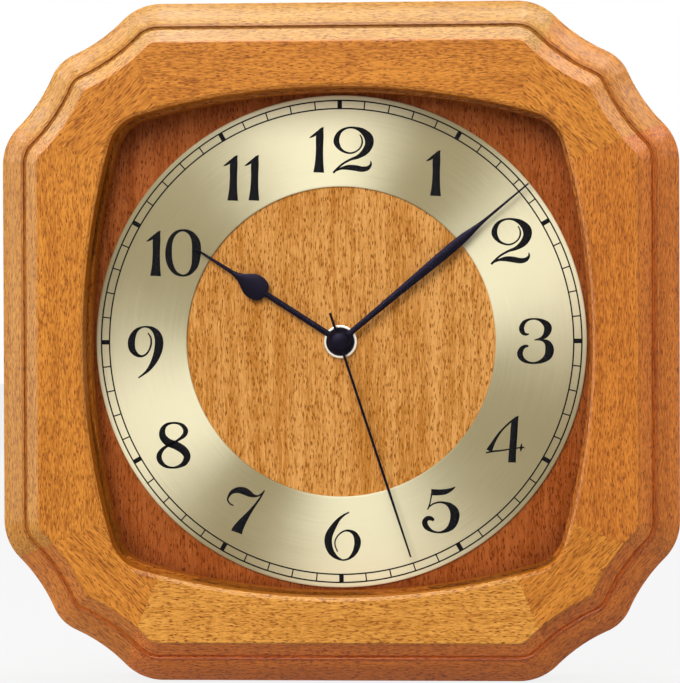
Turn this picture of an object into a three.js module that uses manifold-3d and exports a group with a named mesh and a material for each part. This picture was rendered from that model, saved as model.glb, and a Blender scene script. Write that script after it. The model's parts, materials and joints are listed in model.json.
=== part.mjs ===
// A radio-controlled wall clock: scalloped beech frame, metal chapter ring, movement with two motors.
// Millimetres, +Z up, the dial faces -Y. The origin is the wall hook's seat, on the wall plane.
import * as THREE from "three";
import { mergeVertices } from "three/addons/utils/BufferGeometryUtils.js";
import Module from "manifold-3d";

const wasm = await Module();
wasm.setup();

const DEGREE = Math.PI / 180;
const MERGE_DISTANCE = 1e-5;

// Clearances
const FIT_GAP = 0.3; // a fixed piece in the seat that is cut for it
const RUN_GAP = 0.3; // a turning or sliding piece beside what holds it
const PANEL_GAP = 0.5; // glass, spacers and dial board inside the rebate
const GLUE_GAP = 0.3; // between two staves of the frame
const LEVEL_GAP = 0.5; // between two wheels that lie one behind the other

// Frame outline: straight rails, and at each corner two scallops that meet in a rounded cusp
const FRAME_WIDTH = 300;
const SHOULDER_RADIUS = 24;
const SCALLOP_RADIUS = 74;
const CUSP_RADIUS = 19;
const SHOULDER_TURN = 45 * DEGREE;
const SCALLOP_EXIT = 24 * DEGREE;
const DIAGONAL = 45 * DEGREE;
const LEAST_RADIUS = 0.4;

// Moulding, from the outer edge inwards to the flat face
const BACK_CHAMFER = 1;
const ROUND_WIDTH = 10;
const ROUND_HEIGHT = 12;
const GROOVE_WIDTH = 1.6;
const GROOVE_DEPTH = 1.2;
const COVE_WIDTH = 6.6;
const COVE_HEIGHT = 6;
const FACE_STEP = 1;

// Opening with bulged sides, and the rebate behind its lip
const RAIL_WIDTH = 39.5; // from the frame's outer edge to the opening, at the middle of a side
const OPENING_SIDE_RADIUS = 319;
const OPENING_CORNER_RADIUS = 17;
const OPENING_ROUND = 1.2;
const LIP_DEPTH = 13;
const REBATE_WIDTH = 7;
const CORNER_REACH = 28.5; // from the end of the opening's width to the joint beside the corner block
const MITRE = 22.5 * DEGREE;

// Glass, dial board and chapter ring
const GLASS_THICK = 2;
const BOARD_THICK = 4;
const GLASS_CLEARANCE = 1.4;
const RING_MARGIN = 1.2;
const RING_WIDTH = 40.5;
const RING_THICK = 1.2;
const RING_BEVEL = 0.4;

// Hands
const HAND_THICK = 0.6;
const HAND_GAP = 1.4;
const NUT_TO_HAND = 0.8;
const SHAFT_HALF = 1.45;
const TIP_HALF = 0.25;
const HOUR_HUB_RADIUS = 6.3;
const HOUR_TIP_OVERLAP = 9; // how far its tip passes the ring's inner edge
const PEAR_START = 38.8;
const PEAR_WIDEST = 45.4;
const PEAR_END = 58.5;
const PEAR_HALF = 5.8;
const PEAR_NECK_HALF = 0.9;
const MINUTE_HUB_RADIUS = 5.2;
const MINUTE_TIP_MARGIN = 0.4;
const MINUTE_WIDEST = 58;
const MINUTE_WIDEST_HALF = 2.45;
const MINUTE_NECK = 89;
const MINUTE_NECK_HALF = 0.65;
const SECOND_HALF = 0.5;
const SECOND_TIP_MARGIN = 9;
const SECOND_TAIL = 13.4;
const SECOND_CAP_RADIUS = 3.6;
const SECOND_CAP_HEIGHT = 1.6;
const HOUR_ANGLE = 302.8 * DEGREE;
const MINUTE_ANGLE = 50.3 * DEGREE;
const SECOND_ANGLE = 161.8 * DEGREE;

// Fixing of the movement
const WALL_STANDOFF = 3;
const RUBBER_THICK = 1;
const RUBBER_RADIUS = 13;
const BUSHING_RADIUS = 4.9;
const BUSHING_FLANGE_RADIUS = 6.6;
const BUSHING_FLANGE_THICK = 0.8;
const WASHER_THICK = 0.4;
const NUT_THICK = 1.8;
const NUT_RADIUS = 7.5;
const NUT_CHAMFER = 0.4;

// Arbors and pipes
const SECOND_ARBOR_RADIUS = 0.75;
const PIPE_WALL = 0.6;
const PIPE_STAND = 0.3; // how far a pipe stands past the front of its hand
const ARBOR_RADIUS = 0.8;
const PIVOT_RADIUS = 0.5;
const PIVOT_LENGTH = 0.8;

// Wheels
const GEAR_MODULE = 0.5;
const TOOTH_TIP = 0.5; // in modules, above the pitch circle
const TOOTH_ROOT = 1.5; // in modules, below the pitch circle
const WHEEL_THICK = 1;
const WHEEL_LEVELS = 6; // wheels that lie one behind the other
const ROTOR_TEETH = 6;
const INTERMEDIATE_TEETH = 30;
const INTERMEDIATE_PINION_TEETH = 6;
const HAND_WHEEL_TEETH = 36;
const CANNON_TEETH = 10;
const MOTION_WHEEL_TEETH = 30;
const MOTION_PINION_TEETH = 8;
const HOUR_WHEEL_TEETH = 32;
const SECONDS_SIDE = 60 * DEGREE;
const MINUTES_SIDE = 120 * DEGREE;
const MOTION_SIDE = -30 * DEGREE;

// Motors
const MAGNET_RADIUS = 2.5;
const MAGNET_LENGTH = 2.4;
const STATOR_THICK = 0.8;
const STATOR_BAR = 6.4;
const STATOR_ARM = 2.4;
const STATOR_REACH = 11.75; // from the rotor's axis to the coil's axis
const STATOR_RISE = 9.5; // from the rotor's axis to the upper arm's middle
const STATOR_DROP = 4.2; // from the rotor's axis to the lower arm's middle
const CORE_WIDTH = 2;
const COIL_RADIUS = 2.2;
const COIL_CHEEK = 0.8;
const COIL_CHEEK_STEP = 0.3;

// Movement case
const CASE_WALL = 1.4;
const PLATE_THICK = 1;
const PARTITION = 1.2;
const CHAMBER_MARGIN = 4.9; // from the motion wheel's teeth to the partition
const POST_RADIUS = 1.5;
const PIN_RADIUS = 0.9;

// Cell and its contacts
const CELL_RADIUS = 7.25;
const CELL_LENGTH = 50.5;
const CELL_NUB_RADIUS = 2.75;
const CELL_NUB_LENGTH = 1.3;
const CELL_SHOULDER = 0.6;
const BAY_GAP = 0.5;
const CONTACT_ROOM = 3.3;
const CONTACT_THICK = 0.5;
const CONTACT_HEIGHT = 9;
const CONTACT_WIDTH = 8;

// Circuit, aerial and buttons
const CIRCUIT_WIDTH = 15.5;
const CIRCUIT_HEIGHT = 21;
const CIRCUIT_THICK = 1;
const CIRCUIT_POST_INSET = 3;
const CRYSTAL_RADIUS = 1;
const CRYSTAL_LENGTH = 6;
const CHIP_SIDE = 6;
const CHIP_THICK = 1.2;
const FERRITE_RADIUS = 3.5;
const FERRITE_LENGTH = 52;
const AERIAL_WINDING = 1;
const AERIAL_LENGTH = 18;
const CRADLE_SPREAD = 20;
const CRADLE_THICK = 2;
const BUTTON_RADIUS = 2;
const BUTTON_FLANGE = 0.7;
const BUTTON_FLANGE_THICK = 0.6;
const BUTTON_PROUD = 1;
const BUTTON_TRAVEL = 0.8;
const BUTTON_PITCH = 6;

// Hanger and screws
const HANGER_WIDTH = 50;
const HANGER_HEIGHT = 16;
const HANGER_THICK = 1.5;
const HANGER_SUNK = 0.3;
const HANGER_ROUND = 3;
const HANGER_TOP = 4.6; // from the hook's seat to the plate's upper edge
const KEYHOLE_SLOT_RADIUS = 2.2;
const KEYHOLE_ENTRY_RADIUS = 3.6;
const KEYHOLE_DROP = 6.4;
const HOOK_ROOM_DEPTH = 7;
const HOOK_ROOM_MARGIN = 1;
const HANGER_SCREW_SPREAD = 19;
const HANGER_SCREW_LENGTH = 12;
const BOARD_SCREW_LENGTH = 12;
const BOARD_SCREW_HEAD = 1.6;
const SCREW_RADIUS = 1.25;
const SCREW_HEAD_RADIUS = 3;
const SCREW_POINT = 2;

// Steps of the round stretches
const STRAIGHT_STEPS = 3;
const SHOULDER_STEPS = 3;
const SCALLOP_STEPS = 3;
const CUSP_STEPS = 2;
const SIDE_STEPS = 7;
const CORNER_STEPS = STRAIGHT_STEPS + SHOULDER_STEPS + SCALLOP_STEPS + CUSP_STEPS - SIDE_STEPS;
const ROUND_STEPS = 3;
const COVE_STEPS = 2;
const EDGE_STEPS = 1;
const RING_SEGMENTS = 64;
const LARGE_SEGMENTS = 24;
const SMALL_SEGMENTS = 12;
const PIVOT_SEGMENTS = 8;
const CURVE_STEPS = 6;

// The opening's half width, and half the length of a rail along it
const openingHalf = FRAME_WIDTH / 2 - RAIL_WIDTH;
const railHalf = openingHalf - CORNER_REACH;

// Depth from the wall, worked out from the back to the front
const waistOf = (teeth) => (teeth * GEAR_MODULE) / 2;
const tipOf = (teeth) => waistOf(teeth) + TOOTH_TIP * GEAR_MODULE;
const motorDepth = MAGNET_LENGTH / 2 + Math.max(MAGNET_LENGTH / 2, COIL_RADIUS);
const trainGaps = WHEEL_LEVELS + 2;
const trainDepth = trainGaps * LEVEL_GAP + WHEEL_LEVELS * WHEEL_THICK + PLATE_THICK + motorDepth;
const cellDepth = 2 * CELL_RADIUS + BAY_GAP;
const chamberDepth = Math.max(trainDepth, cellDepth - CASE_WALL + RUN_GAP);
const coverRear = WALL_STANDOFF;
const coverFront = coverRear + CASE_WALL;
const chamberFront = coverFront + chamberDepth;
const caseFront = chamberFront + CASE_WALL;
const boardRear = caseFront + RUBBER_THICK;
const boardFront = boardRear + BOARD_THICK;
const nutRear = boardFront + WASHER_THICK;
const nutFront = nutRear + NUT_THICK;
const hourRear = nutFront + NUT_TO_HAND;
const minuteRear = hourRear + HAND_THICK + HAND_GAP;
const secondRear = minuteRear + HAND_THICK + HAND_GAP;
const capFront = secondRear + SECOND_CAP_HEIGHT;
const glassRear = capFront + GLASS_CLEARANCE;
const lipRear = glassRear + GLASS_THICK;
const frameFront = lipRear + LIP_DEPTH;
const hourPipeFront = hourRear + HAND_THICK + PIPE_STAND;
const minutePipeFront = minuteRear + HAND_THICK + PIPE_STAND;
const secondArborFront = secondRear + SECOND_CAP_HEIGHT / 2;

// Levels of the wheels, from the front wall of the chamber backwards
const levelBehind = (front) => ({ front: front - LEVEL_GAP, rear: front - LEVEL_GAP - WHEEL_THICK });
const hourLevel = levelBehind(chamberFront);
const cannonLevel = levelBehind(hourLevel.rear);
const centreLevel = levelBehind(cannonLevel.rear);
const minuteDriveLevel = levelBehind(centreLevel.rear);
const plateFront = minuteDriveLevel.rear - LEVEL_GAP;
const plateRear = plateFront - PLATE_THICK;
const secondsLevel = levelBehind(plateRear);
const secondsDriveLevel = levelBehind(secondsLevel.rear);

// Places of the axes across the dial
const along = (from, angle, length) =>
  new THREE.Vector2(from.x + length * Math.cos(angle), from.y + length * Math.sin(angle));
const centre = new THREE.Vector2(0, 0);
const spacing = (a, b) => waistOf(a) + waistOf(b);
const intermediateReach = spacing(INTERMEDIATE_PINION_TEETH, HAND_WHEEL_TEETH);
const rotorReach = spacing(ROTOR_TEETH, INTERMEDIATE_TEETH);
const secondsIntermediate = along(centre, SECONDS_SIDE, intermediateReach);
const secondsRotor = along(secondsIntermediate, SECONDS_SIDE, rotorReach);
const minutesIntermediate = along(centre, MINUTES_SIDE, intermediateReach);
const minutesRotor = along(minutesIntermediate, MINUTES_SIDE, rotorReach);
const motionAxis = along(centre, MOTION_SIDE, spacing(CANNON_TEETH, MOTION_WHEEL_TEETH));

// Radii of the nested pipes
const minuteBore = SECOND_ARBOR_RADIUS + RUN_GAP;
const minutePipe = minuteBore + PIPE_WALL;
const hourBore = minutePipe + RUN_GAP;
const hourPipe = hourBore + PIPE_WALL;
const bushingBore = hourPipe + RUN_GAP;
const pivotHole = PIVOT_RADIUS + RUN_GAP;

// The dial
const ringOuter = openingHalf - RING_MARGIN;
const ringInner = ringOuter - RING_WIDTH;
const hourReach = ringInner + HOUR_TIP_OVERLAP;
const minuteReach = ringOuter - MINUTE_TIP_MARGIN;
const secondReach = ringOuter - SECOND_TIP_MARGIN;

// The movement's case across the dial
const caseHalf = CELL_LENGTH / 2 + CONTACT_ROOM + CASE_WALL;
const chamberHalf = caseHalf - CASE_WALL;
const chamberLow = motionAxis.y - tipOf(MOTION_WHEEL_TEETH) - CHAMBER_MARGIN;
const bayHigh = chamberLow - PARTITION;
const bayLow = bayHigh - 2 * (CELL_RADIUS + BAY_GAP);
const cellHeight = (bayHigh + bayLow) / 2;
const cellDepthMiddle = chamberFront - BAY_GAP - CELL_RADIUS;
const aerialRadius = FERRITE_RADIUS + FIT_GAP + AERIAL_WINDING;
const statorTop = secondsRotor.y + STATOR_RISE + STATOR_ARM / 2;
const aerialHeight = statorTop + LEVEL_GAP + aerialRadius;
const aerialDepth = (chamberFront + coverFront) / 2;
const chamberHigh = aerialHeight + aerialRadius + LEVEL_GAP;
const caseLow = bayLow - CASE_WALL;
const caseHigh = chamberHigh + CASE_WALL;

// The hanger's place above the dial's axis
const rebateHalf = openingHalf + REBATE_WIDTH;
const railMiddle = (rebateHalf + FRAME_WIDTH / 2) / 2;
const hookHeight = railMiddle + HANGER_HEIGHT / 2 - HANGER_TOP;

// Finishes
const FINISH = {
  beech: { color: 0xcb8a45, roughness: 0.45, metalness: 0 },
  veneer: { color: 0xd79a55, roughness: 0.5, metalness: 0 },
  glass: { color: 0xeef4f2, roughness: 0.03, metalness: 0, transparent: true, opacity: 0.2 },
  champagne: { color: 0xc9bd92, roughness: 0.35, metalness: 0.9 },
  blued: { color: 0x1d1838, roughness: 0.35, metalness: 0.4 },
  nickel: { color: 0xd9d6cc, roughness: 0.2, metalness: 1 },
  brass: { color: 0xc4a04f, roughness: 0.3, metalness: 1 },
  steel: { color: 0xb2b2ae, roughness: 0.35, metalness: 1 },
  copper: { color: 0xb0602c, roughness: 0.35, metalness: 0.8 },
  rubber: { color: 0x1c1c1c, roughness: 0.85, metalness: 0 },
  blackPlastic: { color: 0x222224, roughness: 0.55, metalness: 0 },
  whitePlastic: { color: 0xe6e3da, roughness: 0.5, metalness: 0 },
  circuit: { color: 0x1f6b3a, roughness: 0.5, metalness: 0 },
  ferrite: { color: 0x3a3836, roughness: 0.7, metalness: 0 },
  cell: { color: 0x2f5f8f, roughness: 0.35, metalness: 0 },
};

// Solids from three.js geometry, in dial coordinates: x right, y up, z from the wall towards the viewer
function solid(geometry) {
  geometry.deleteAttribute("normal");
  geometry.deleteAttribute("uv");
  const merged = mergeVertices(geometry, MERGE_DISTANCE);
  const vertProperties = merged.attributes.position.array;
  const triVerts = new Uint32Array(merged.index.array);
  const made = new wasm.Manifold(new wasm.Mesh({ numProp: 3, vertProperties, triVerts }));
  if (made.volume() > 0) return made;
  const flipped = triVerts.map((_, i) => triVerts[i + 2 - 2 * (i % 3)]);
  return new wasm.Manifold(new wasm.Mesh({ numProp: 3, vertProperties, triVerts: flipped }));
}

function geometryOf(made) {
  const { numProp, numVert, vertProperties, triVerts } = made.getMesh();
  const position = new Float32Array(3 * numVert);
  for (let i = 0; i < numVert; i++) {
    position.set(vertProperties.subarray(i * numProp, i * numProp + 3), 3 * i);
  }
  const geometry = new THREE.BufferGeometry();
  geometry.setAttribute("position", new THREE.BufferAttribute(position, 3));
  geometry.setIndex(new THREE.BufferAttribute(triVerts, 1));
  geometry.computeVertexNormals();
  return geometry;
}

const cutFrom = (made, ...cutters) => cutters.reduce((rest, cutter) => rest.subtract(cutter), made);
const joined = (first, ...others) => others.reduce((sum, other) => sum.add(other), first);

const anticlockwise = (points) =>
  THREE.ShapeUtils.isClockWise(points) ? [...points].reverse() : points;

// A flat outline, with holes, between two depths.
function slab(outline, rear, front, holes = []) {
  const shape = outline instanceof THREE.Shape ? outline : new THREE.Shape(anticlockwise(outline));
  const pathOf = (hole) => (hole instanceof THREE.Path ? hole : new THREE.Path(hole));
  shape.holes.push(...holes.map(pathOf));
  const options = { depth: front - rear, bevelEnabled: false, curveSegments: CURVE_STEPS };
  return solid(new THREE.ExtrudeGeometry(shape, options).translate(0, 0, rear));
}

// A profile of [radius, depth] corners turned about an axis parallel to the dial's.
function turned(profile, segments, at = centre) {
  const points = profile.map(([radius, depth]) => new THREE.Vector2(radius, depth));
  return solid(new THREE.LatheGeometry(points, segments).rotateX(Math.PI / 2).translate(at.x, at.y, 0));
}

const disc = (radius, rear, front, segments, at = centre) =>
  turned([[0, rear], [radius, rear], [radius, front], [0, front]], segments, at);

const collar = (inner, outer, rear, front, segments) =>
  turned([[inner, rear], [outer, rear], [outer, front], [inner, front], [inner, rear]], segments);

// A rod that lies across the dial, turned from a profile of [radius, x] corners.
function crossRod(profile, segments, height, depth) {
  const points = profile.map(([radius, x]) => new THREE.Vector2(radius, x));
  const lathe = new THREE.LatheGeometry(points, segments).rotateZ(-Math.PI / 2);
  return solid(lathe.translate(0, height, depth));
}

const crossBar = (radius, start, end, segments, height, depth) =>
  crossRod([[0, start], [radius, start], [radius, end], [0, end]], segments, height, depth);

function block(left, right, low, high, rear, front) {
  const box = new THREE.BoxGeometry(right - left, high - low, front - rear);
  return solid(box.translate((left + right) / 2, (low + high) / 2, (rear + front) / 2));
}

// Frame outline: one eighth, from the middle of the top rail to the diagonal, inset from the outer edge
function frameEighth(inset) {
  const half = FRAME_WIDTH / 2 - inset;
  const shoulder = Math.max(SHOULDER_RADIUS - inset, LEAST_RADIUS);
  const scallop = SCALLOP_RADIUS + inset;
  const cusp = Math.max(CUSP_RADIUS - inset, LEAST_RADIUS);
  const sine = Math.sin;
  const cosine = Math.cos;
  const run =
    shoulder * sine(SHOULDER_TURN) +
    scallop * (sine(SHOULDER_TURN) - sine(SCALLOP_EXIT)) +
    cusp * (sine(DIAGONAL) - sine(SCALLOP_EXIT));
  const drop =
    shoulder * (1 - cosine(SHOULDER_TURN)) +
    scallop * (cosine(SCALLOP_EXIT) - cosine(SHOULDER_TURN)) +
    cusp * (cosine(SCALLOP_EXIT) - cosine(DIAGONAL));
  const points = [];
  const straight = half - drop - run;
  for (let i = 0; i <= STRAIGHT_STEPS; i++) {
    points.push(new THREE.Vector2((straight * i) / STRAIGHT_STEPS, half));
  }
  const addArc = (radius, from, to, steps) => {
    const start = points.at(-1).clone();
    const side = Math.sign(to - from);
    for (let i = 1; i <= steps; i++) {
      const turn = from + ((to - from) * i) / steps;
      const across = side * radius * (sine(turn) - sine(from));
      const down = side * radius * (cosine(from) - cosine(turn));
      points.push(new THREE.Vector2(start.x + across, start.y - down));
    }
  };
  addArc(shoulder, 0, SHOULDER_TURN, SHOULDER_STEPS);
  addArc(scallop, SHOULDER_TURN, SCALLOP_EXIT, SCALLOP_STEPS);
  addArc(cusp, SCALLOP_EXIT, DIAGONAL, CUSP_STEPS);
  return points;
}

// Opening outline: one eighth, from the middle of the top side to the diagonal, offset outwards
const sideCentre = openingHalf - OPENING_SIDE_RADIUS;
const cornerCentre =
  (sideCentre +
    Math.sqrt(2 * (OPENING_SIDE_RADIUS - OPENING_CORNER_RADIUS) ** 2 - sideCentre ** 2)) /
  2;
const cornerTurn = Math.atan2(cornerCentre, cornerCentre - sideCentre);

function openingEighth(offset) {
  const arc = (x, y, radius, turn) =>
    new THREE.Vector2(x + (radius + offset) * Math.sin(turn), y + (radius + offset) * Math.cos(turn));
  const points = [];
  for (let i = 0; i <= SIDE_STEPS; i++) {
    points.push(arc(0, sideCentre, OPENING_SIDE_RADIUS, (cornerTurn * i) / SIDE_STEPS));
  }
  for (let i = 1; i <= CORNER_STEPS; i++) {
    const turn = cornerTurn + ((DIAGONAL - cornerTurn) * i) / CORNER_STEPS;
    points.push(arc(cornerCentre, cornerCentre, OPENING_CORNER_RADIUS, turn));
  }
  return points;
}

// An eighth mirrored in the diagonal and repeated on the four sides, clockwise from the top.
function fullLoop(eighth) {
  const mirrored = eighth.slice(1, -1).map(({ x, y }) => new THREE.Vector2(y, x));
  const quarter = [...eighth, ...mirrored.reverse()];
  const loop = [];
  for (let side = 0; side < 4; side++) {
    loop.push(...quarter.map((point) => point.clone().rotateAround(centre, (-side * Math.PI) / 2)));
  }
  return loop;
}

const outerLoop = (inset) => fullLoop(frameEighth(inset));
const openingLoop = (offset) => fullLoop(openingEighth(offset));

// A ring whose section is a closed row of loops, each at its own depth.
function loopRing(rows) {
  const count = rows[0].loop.length;
  const position = rows.flatMap(({ loop, depth }) => loop.flatMap(({ x, y }) => [x, y, depth]));
  const index = [];
  rows.forEach((_, j) => {
    const next = (j + 1) % rows.length;
    for (let i = 0; i < count; i++) {
      const k = (i + 1) % count;
      const [a, b, c, d] = [j * count + i, next * count + i, next * count + k, j * count + k];
      index.push(a, b, c, a, c, d);
    }
  });
  const geometry = new THREE.BufferGeometry();
  geometry.setAttribute("position", new THREE.Float32BufferAttribute(position, 3));
  geometry.setIndex(index);
  return solid(geometry);
}

function frameRing() {
  const stepDepth = frameFront - FACE_STEP;
  const roundTop = stepDepth - COVE_HEIGHT;
  const coveStart = ROUND_WIDTH + GROOVE_WIDTH;
  const mouldWidth = coveStart + COVE_WIDTH;
  const outer = (inset, depth) => ({ loop: outerLoop(inset), depth });
  const inner = (offset, depth) => ({ loop: openingLoop(offset), depth });
  const quarterTurns = (steps) => Array.from({ length: steps + 1 }, (_, i) => (i * Math.PI) / 2 / steps);
  const roundRows = quarterTurns(ROUND_STEPS).map((turn) =>
    outer(ROUND_WIDTH * (1 - Math.cos(turn)), roundTop - ROUND_HEIGHT * (1 - Math.sin(turn))),
  );
  const coveRows = quarterTurns(COVE_STEPS).map((turn) =>
    outer(coveStart + COVE_WIDTH * Math.sin(turn), stepDepth - COVE_HEIGHT * Math.cos(turn)),
  );
  const edgeRows = quarterTurns(EDGE_STEPS).map((turn) =>
    inner(OPENING_ROUND * (1 - Math.sin(turn)), frameFront - OPENING_ROUND * (1 - Math.cos(turn))),
  );
  return loopRing([
    outer(BACK_CHAMFER, 0),
    outer(0, BACK_CHAMFER),
    ...roundRows,
    outer(ROUND_WIDTH, roundTop - GROOVE_DEPTH),
    outer(coveStart, roundTop - GROOVE_DEPTH),
    ...coveRows,
    outer(mouldWidth, frameFront),
    ...edgeRows,
    inner(0, lipRear),
    inner(REBATE_WIDTH, lipRear),
    inner(REBATE_WIDTH, 0),
  ]);
}

// The wedge that the top rail is sawn to, and the one of the top right corner block
function staveWedge(isRail) {
  const far = FRAME_WIDTH;
  const slope = Math.tan(MITRE);
  const shift = ((isRail ? -1 : 1) * GLUE_GAP) / 2 / Math.cos(MITRE);
  const jointAt = (height) => railHalf + (height - openingHalf) * slope + shift;
  const meet = (railHalf - openingHalf * slope + shift) / (1 - slope);
  if (isRail) {
    const near = openingHalf - railHalf / 2;
    return [
      new THREE.Vector2(-jointAt(near), near),
      new THREE.Vector2(jointAt(near), near),
      new THREE.Vector2(jointAt(far), far),
      new THREE.Vector2(-jointAt(far), far),
    ];
  }
  return [
    new THREE.Vector2(meet, meet),
    new THREE.Vector2(far, jointAt(far)),
    new THREE.Vector2(far, far),
    new THREE.Vector2(jointAt(far), far),
  ];
}

const clockwise = (points, side) =>
  points.map((point) => point.clone().rotateAround(centre, (-side * Math.PI) / 2));

// Screws: countersunk ones in the hanger, pan heads behind the board
const hangerScrewAt = (side) => new THREE.Vector2(side * HANGER_SCREW_SPREAD, railMiddle);
const screwAt = openingHalf + (REBATE_WIDTH - PANEL_GAP) / 2;
const boardScrewAt = (side) => new THREE.Vector2(0, screwAt).rotateAround(centre, (-side * Math.PI) / 2);

function hangerScrew(at, gap) {
  const head = HANGER_SUNK;
  const neck = head + HANGER_THICK;
  const end = head + HANGER_SCREW_LENGTH + gap;
  const profile = [
    [0, head],
    [SCREW_HEAD_RADIUS + gap, head],
    [SCREW_RADIUS + gap, neck],
    [SCREW_RADIUS + gap, end - SCREW_POINT],
    [0, end],
  ];
  return turned(profile, SMALL_SEGMENTS, at);
}

const boardScrewShank = (at, gap) => {
  const end = boardRear + BOARD_SCREW_LENGTH + gap;
  const profile = [
    [0, boardRear],
    [SCREW_RADIUS + gap, boardRear],
    [SCREW_RADIUS + gap, end - SCREW_POINT],
    [0, end],
  ];
  return turned(profile, SMALL_SEGMENTS, at);
};

const boardScrew = (at) =>
  joined(
    boardScrewShank(at, 0),
    disc(SCREW_HEAD_RADIUS, boardRear - BOARD_SCREW_HEAD, boardRear, SMALL_SEGMENTS, at),
  );

// Hanger plate with its keyhole
function hangerOutline(gap) {
  const half = HANGER_WIDTH / 2 + gap;
  const low = railMiddle - HANGER_HEIGHT / 2 - gap;
  const high = railMiddle + HANGER_HEIGHT / 2 + gap;
  const round = HANGER_ROUND + gap;
  const outline = new THREE.Shape();
  outline.absarc(half - round, low + round, round, -Math.PI / 2, 0);
  outline.absarc(half - round, high - round, round, 0, Math.PI / 2);
  outline.absarc(-half + round, high - round, round, Math.PI / 2, Math.PI);
  outline.absarc(-half + round, low + round, round, Math.PI, 1.5 * Math.PI);
  outline.closePath();
  return outline;
}

function keyhole() {
  const entry = hookHeight - KEYHOLE_DROP;
  const spread = Math.asin(KEYHOLE_SLOT_RADIUS / KEYHOLE_ENTRY_RADIUS);
  const hole = new THREE.Path();
  hole.absarc(0, hookHeight, KEYHOLE_SLOT_RADIUS, 0, Math.PI);
  hole.absarc(0, entry, KEYHOLE_ENTRY_RADIUS, Math.PI / 2 + spread, 2.5 * Math.PI - spread);
  hole.closePath();
  return hole;
}

const hangerRear = HANGER_SUNK;
const hangerFront = HANGER_SUNK + HANGER_THICK;

function hangerPlate() {
  const plate = slab(hangerOutline(0), hangerRear, hangerFront, [keyhole()]);
  return cutFrom(plate, ...[-1, 1].map((side) => hangerScrew(hangerScrewAt(side), FIT_GAP)));
}

function hangerPocket() {
  const room = KEYHOLE_ENTRY_RADIUS + HOOK_ROOM_MARGIN;
  const low = hookHeight - KEYHOLE_DROP - room;
  const high = hookHeight + KEYHOLE_SLOT_RADIUS + HOOK_ROOM_MARGIN;
  const pocket = slab(hangerOutline(FIT_GAP), -HANGER_SUNK, hangerFront);
  const hookRoom = block(-room, room, low, high, 0, hangerFront + HOOK_ROOM_DEPTH);
  return joined(pocket, hookRoom, ...[-1, 1].map((side) => hangerScrew(hangerScrewAt(side), FIT_GAP)));
}

// Hands: half outlines from the hub to the tip, mirrored
function handBlade(half, rear) {
  const mirrored = half.map(({ x, y }) => new THREE.Vector2(-x, y)).reverse();
  return slab([...half, ...mirrored], rear, rear + HAND_THICK);
}

const bezier = (...corners) =>
  new THREE.CubicBezierCurve(...corners.map(([x, y]) => new THREE.Vector2(x, y))).getPoints(CURVE_STEPS);

function hourHand() {
  const rise = (PEAR_WIDEST - PEAR_START) / 2;
  const fall = (PEAR_END - PEAR_WIDEST) / 2;
  const half = [
    new THREE.Vector2(SHAFT_HALF, 0),
    ...bezier(
      [SHAFT_HALF, PEAR_START],
      [SHAFT_HALF + rise, PEAR_START],
      [PEAR_HALF, PEAR_WIDEST - rise],
      [PEAR_HALF, PEAR_WIDEST],
    ),
    ...bezier(
      [PEAR_HALF, PEAR_WIDEST],
      [PEAR_HALF, PEAR_WIDEST + fall],
      [PEAR_NECK_HALF, PEAR_END - fall],
      [PEAR_NECK_HALF, PEAR_END],
    ).slice(1),
    new THREE.Vector2(TIP_HALF, hourReach),
  ];
  const hub = disc(HOUR_HUB_RADIUS, hourRear, hourRear + HAND_THICK, LARGE_SEGMENTS);
  const bore = disc(hourPipe + FIT_GAP, 0, frameFront, LARGE_SEGMENTS);
  return cutFrom(joined(handBlade(half, hourRear), hub), bore);
}

function minuteHand() {
  const bulge = (MINUTE_NECK - MINUTE_WIDEST) / 2;
  const half = [
    ...bezier(
      [SHAFT_HALF, 0],
      [SHAFT_HALF, MINUTE_WIDEST / 2],
      [MINUTE_WIDEST_HALF, MINUTE_WIDEST - bulge],
      [MINUTE_WIDEST_HALF, MINUTE_WIDEST],
    ),
    ...bezier(
      [MINUTE_WIDEST_HALF, MINUTE_WIDEST],
      [MINUTE_WIDEST_HALF, MINUTE_WIDEST + bulge],
      [MINUTE_NECK_HALF, MINUTE_NECK - bulge],
      [MINUTE_NECK_HALF, MINUTE_NECK],
    ).slice(1),
    new THREE.Vector2(TIP_HALF, minuteReach),
  ];
  const hub = disc(MINUTE_HUB_RADIUS, minuteRear, minuteRear + HAND_THICK, LARGE_SEGMENTS);
  const bore = disc(minutePipe + FIT_GAP, 0, frameFront, LARGE_SEGMENTS);
  return cutFrom(joined(handBlade(half, minuteRear), hub), bore);
}

function secondHand() {
  const half = [
    new THREE.Vector2(SECOND_HALF, -SECOND_TAIL),
    new THREE.Vector2(SECOND_HALF, ringInner),
    new THREE.Vector2(TIP_HALF, secondReach),
  ];
  const rim = secondRear + HAND_THICK;
  const cap = turned(
    [[0, secondRear], [SECOND_CAP_RADIUS, secondRear], [SECOND_CAP_RADIUS, rim], [0, capFront]],
    LARGE_SEGMENTS,
  );
  const bore = disc(SECOND_ARBOR_RADIUS + FIT_GAP, 0, secondArborFront + FIT_GAP / 2, PIVOT_SEGMENTS);
  return cutFrom(joined(handBlade(half, secondRear), cap), bore);
}

// Toothed wheels: pointed teeth, the phase is the angle of one tooth
function toothed(teeth, phase, level, at = centre) {
  const outline = Array.from({ length: 2 * teeth }, (_, i) => {
    const reach = i % 2 ? -TOOTH_ROOT : TOOTH_TIP;
    return along(at, phase + (i * Math.PI) / teeth, waistOf(teeth) + reach * GEAR_MODULE);
  });
  return slab(outline, level.rear, level.front);
}

// The phase at which a wheel meshes with its driver, which lies opposite to the given direction.
function meshingPhase(driverTeeth, driverPhase, teeth, direction) {
  const share = (direction - driverPhase) / ((2 * Math.PI) / driverTeeth);
  return direction + Math.PI - (0.5 - share) * ((2 * Math.PI) / teeth);
}

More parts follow.
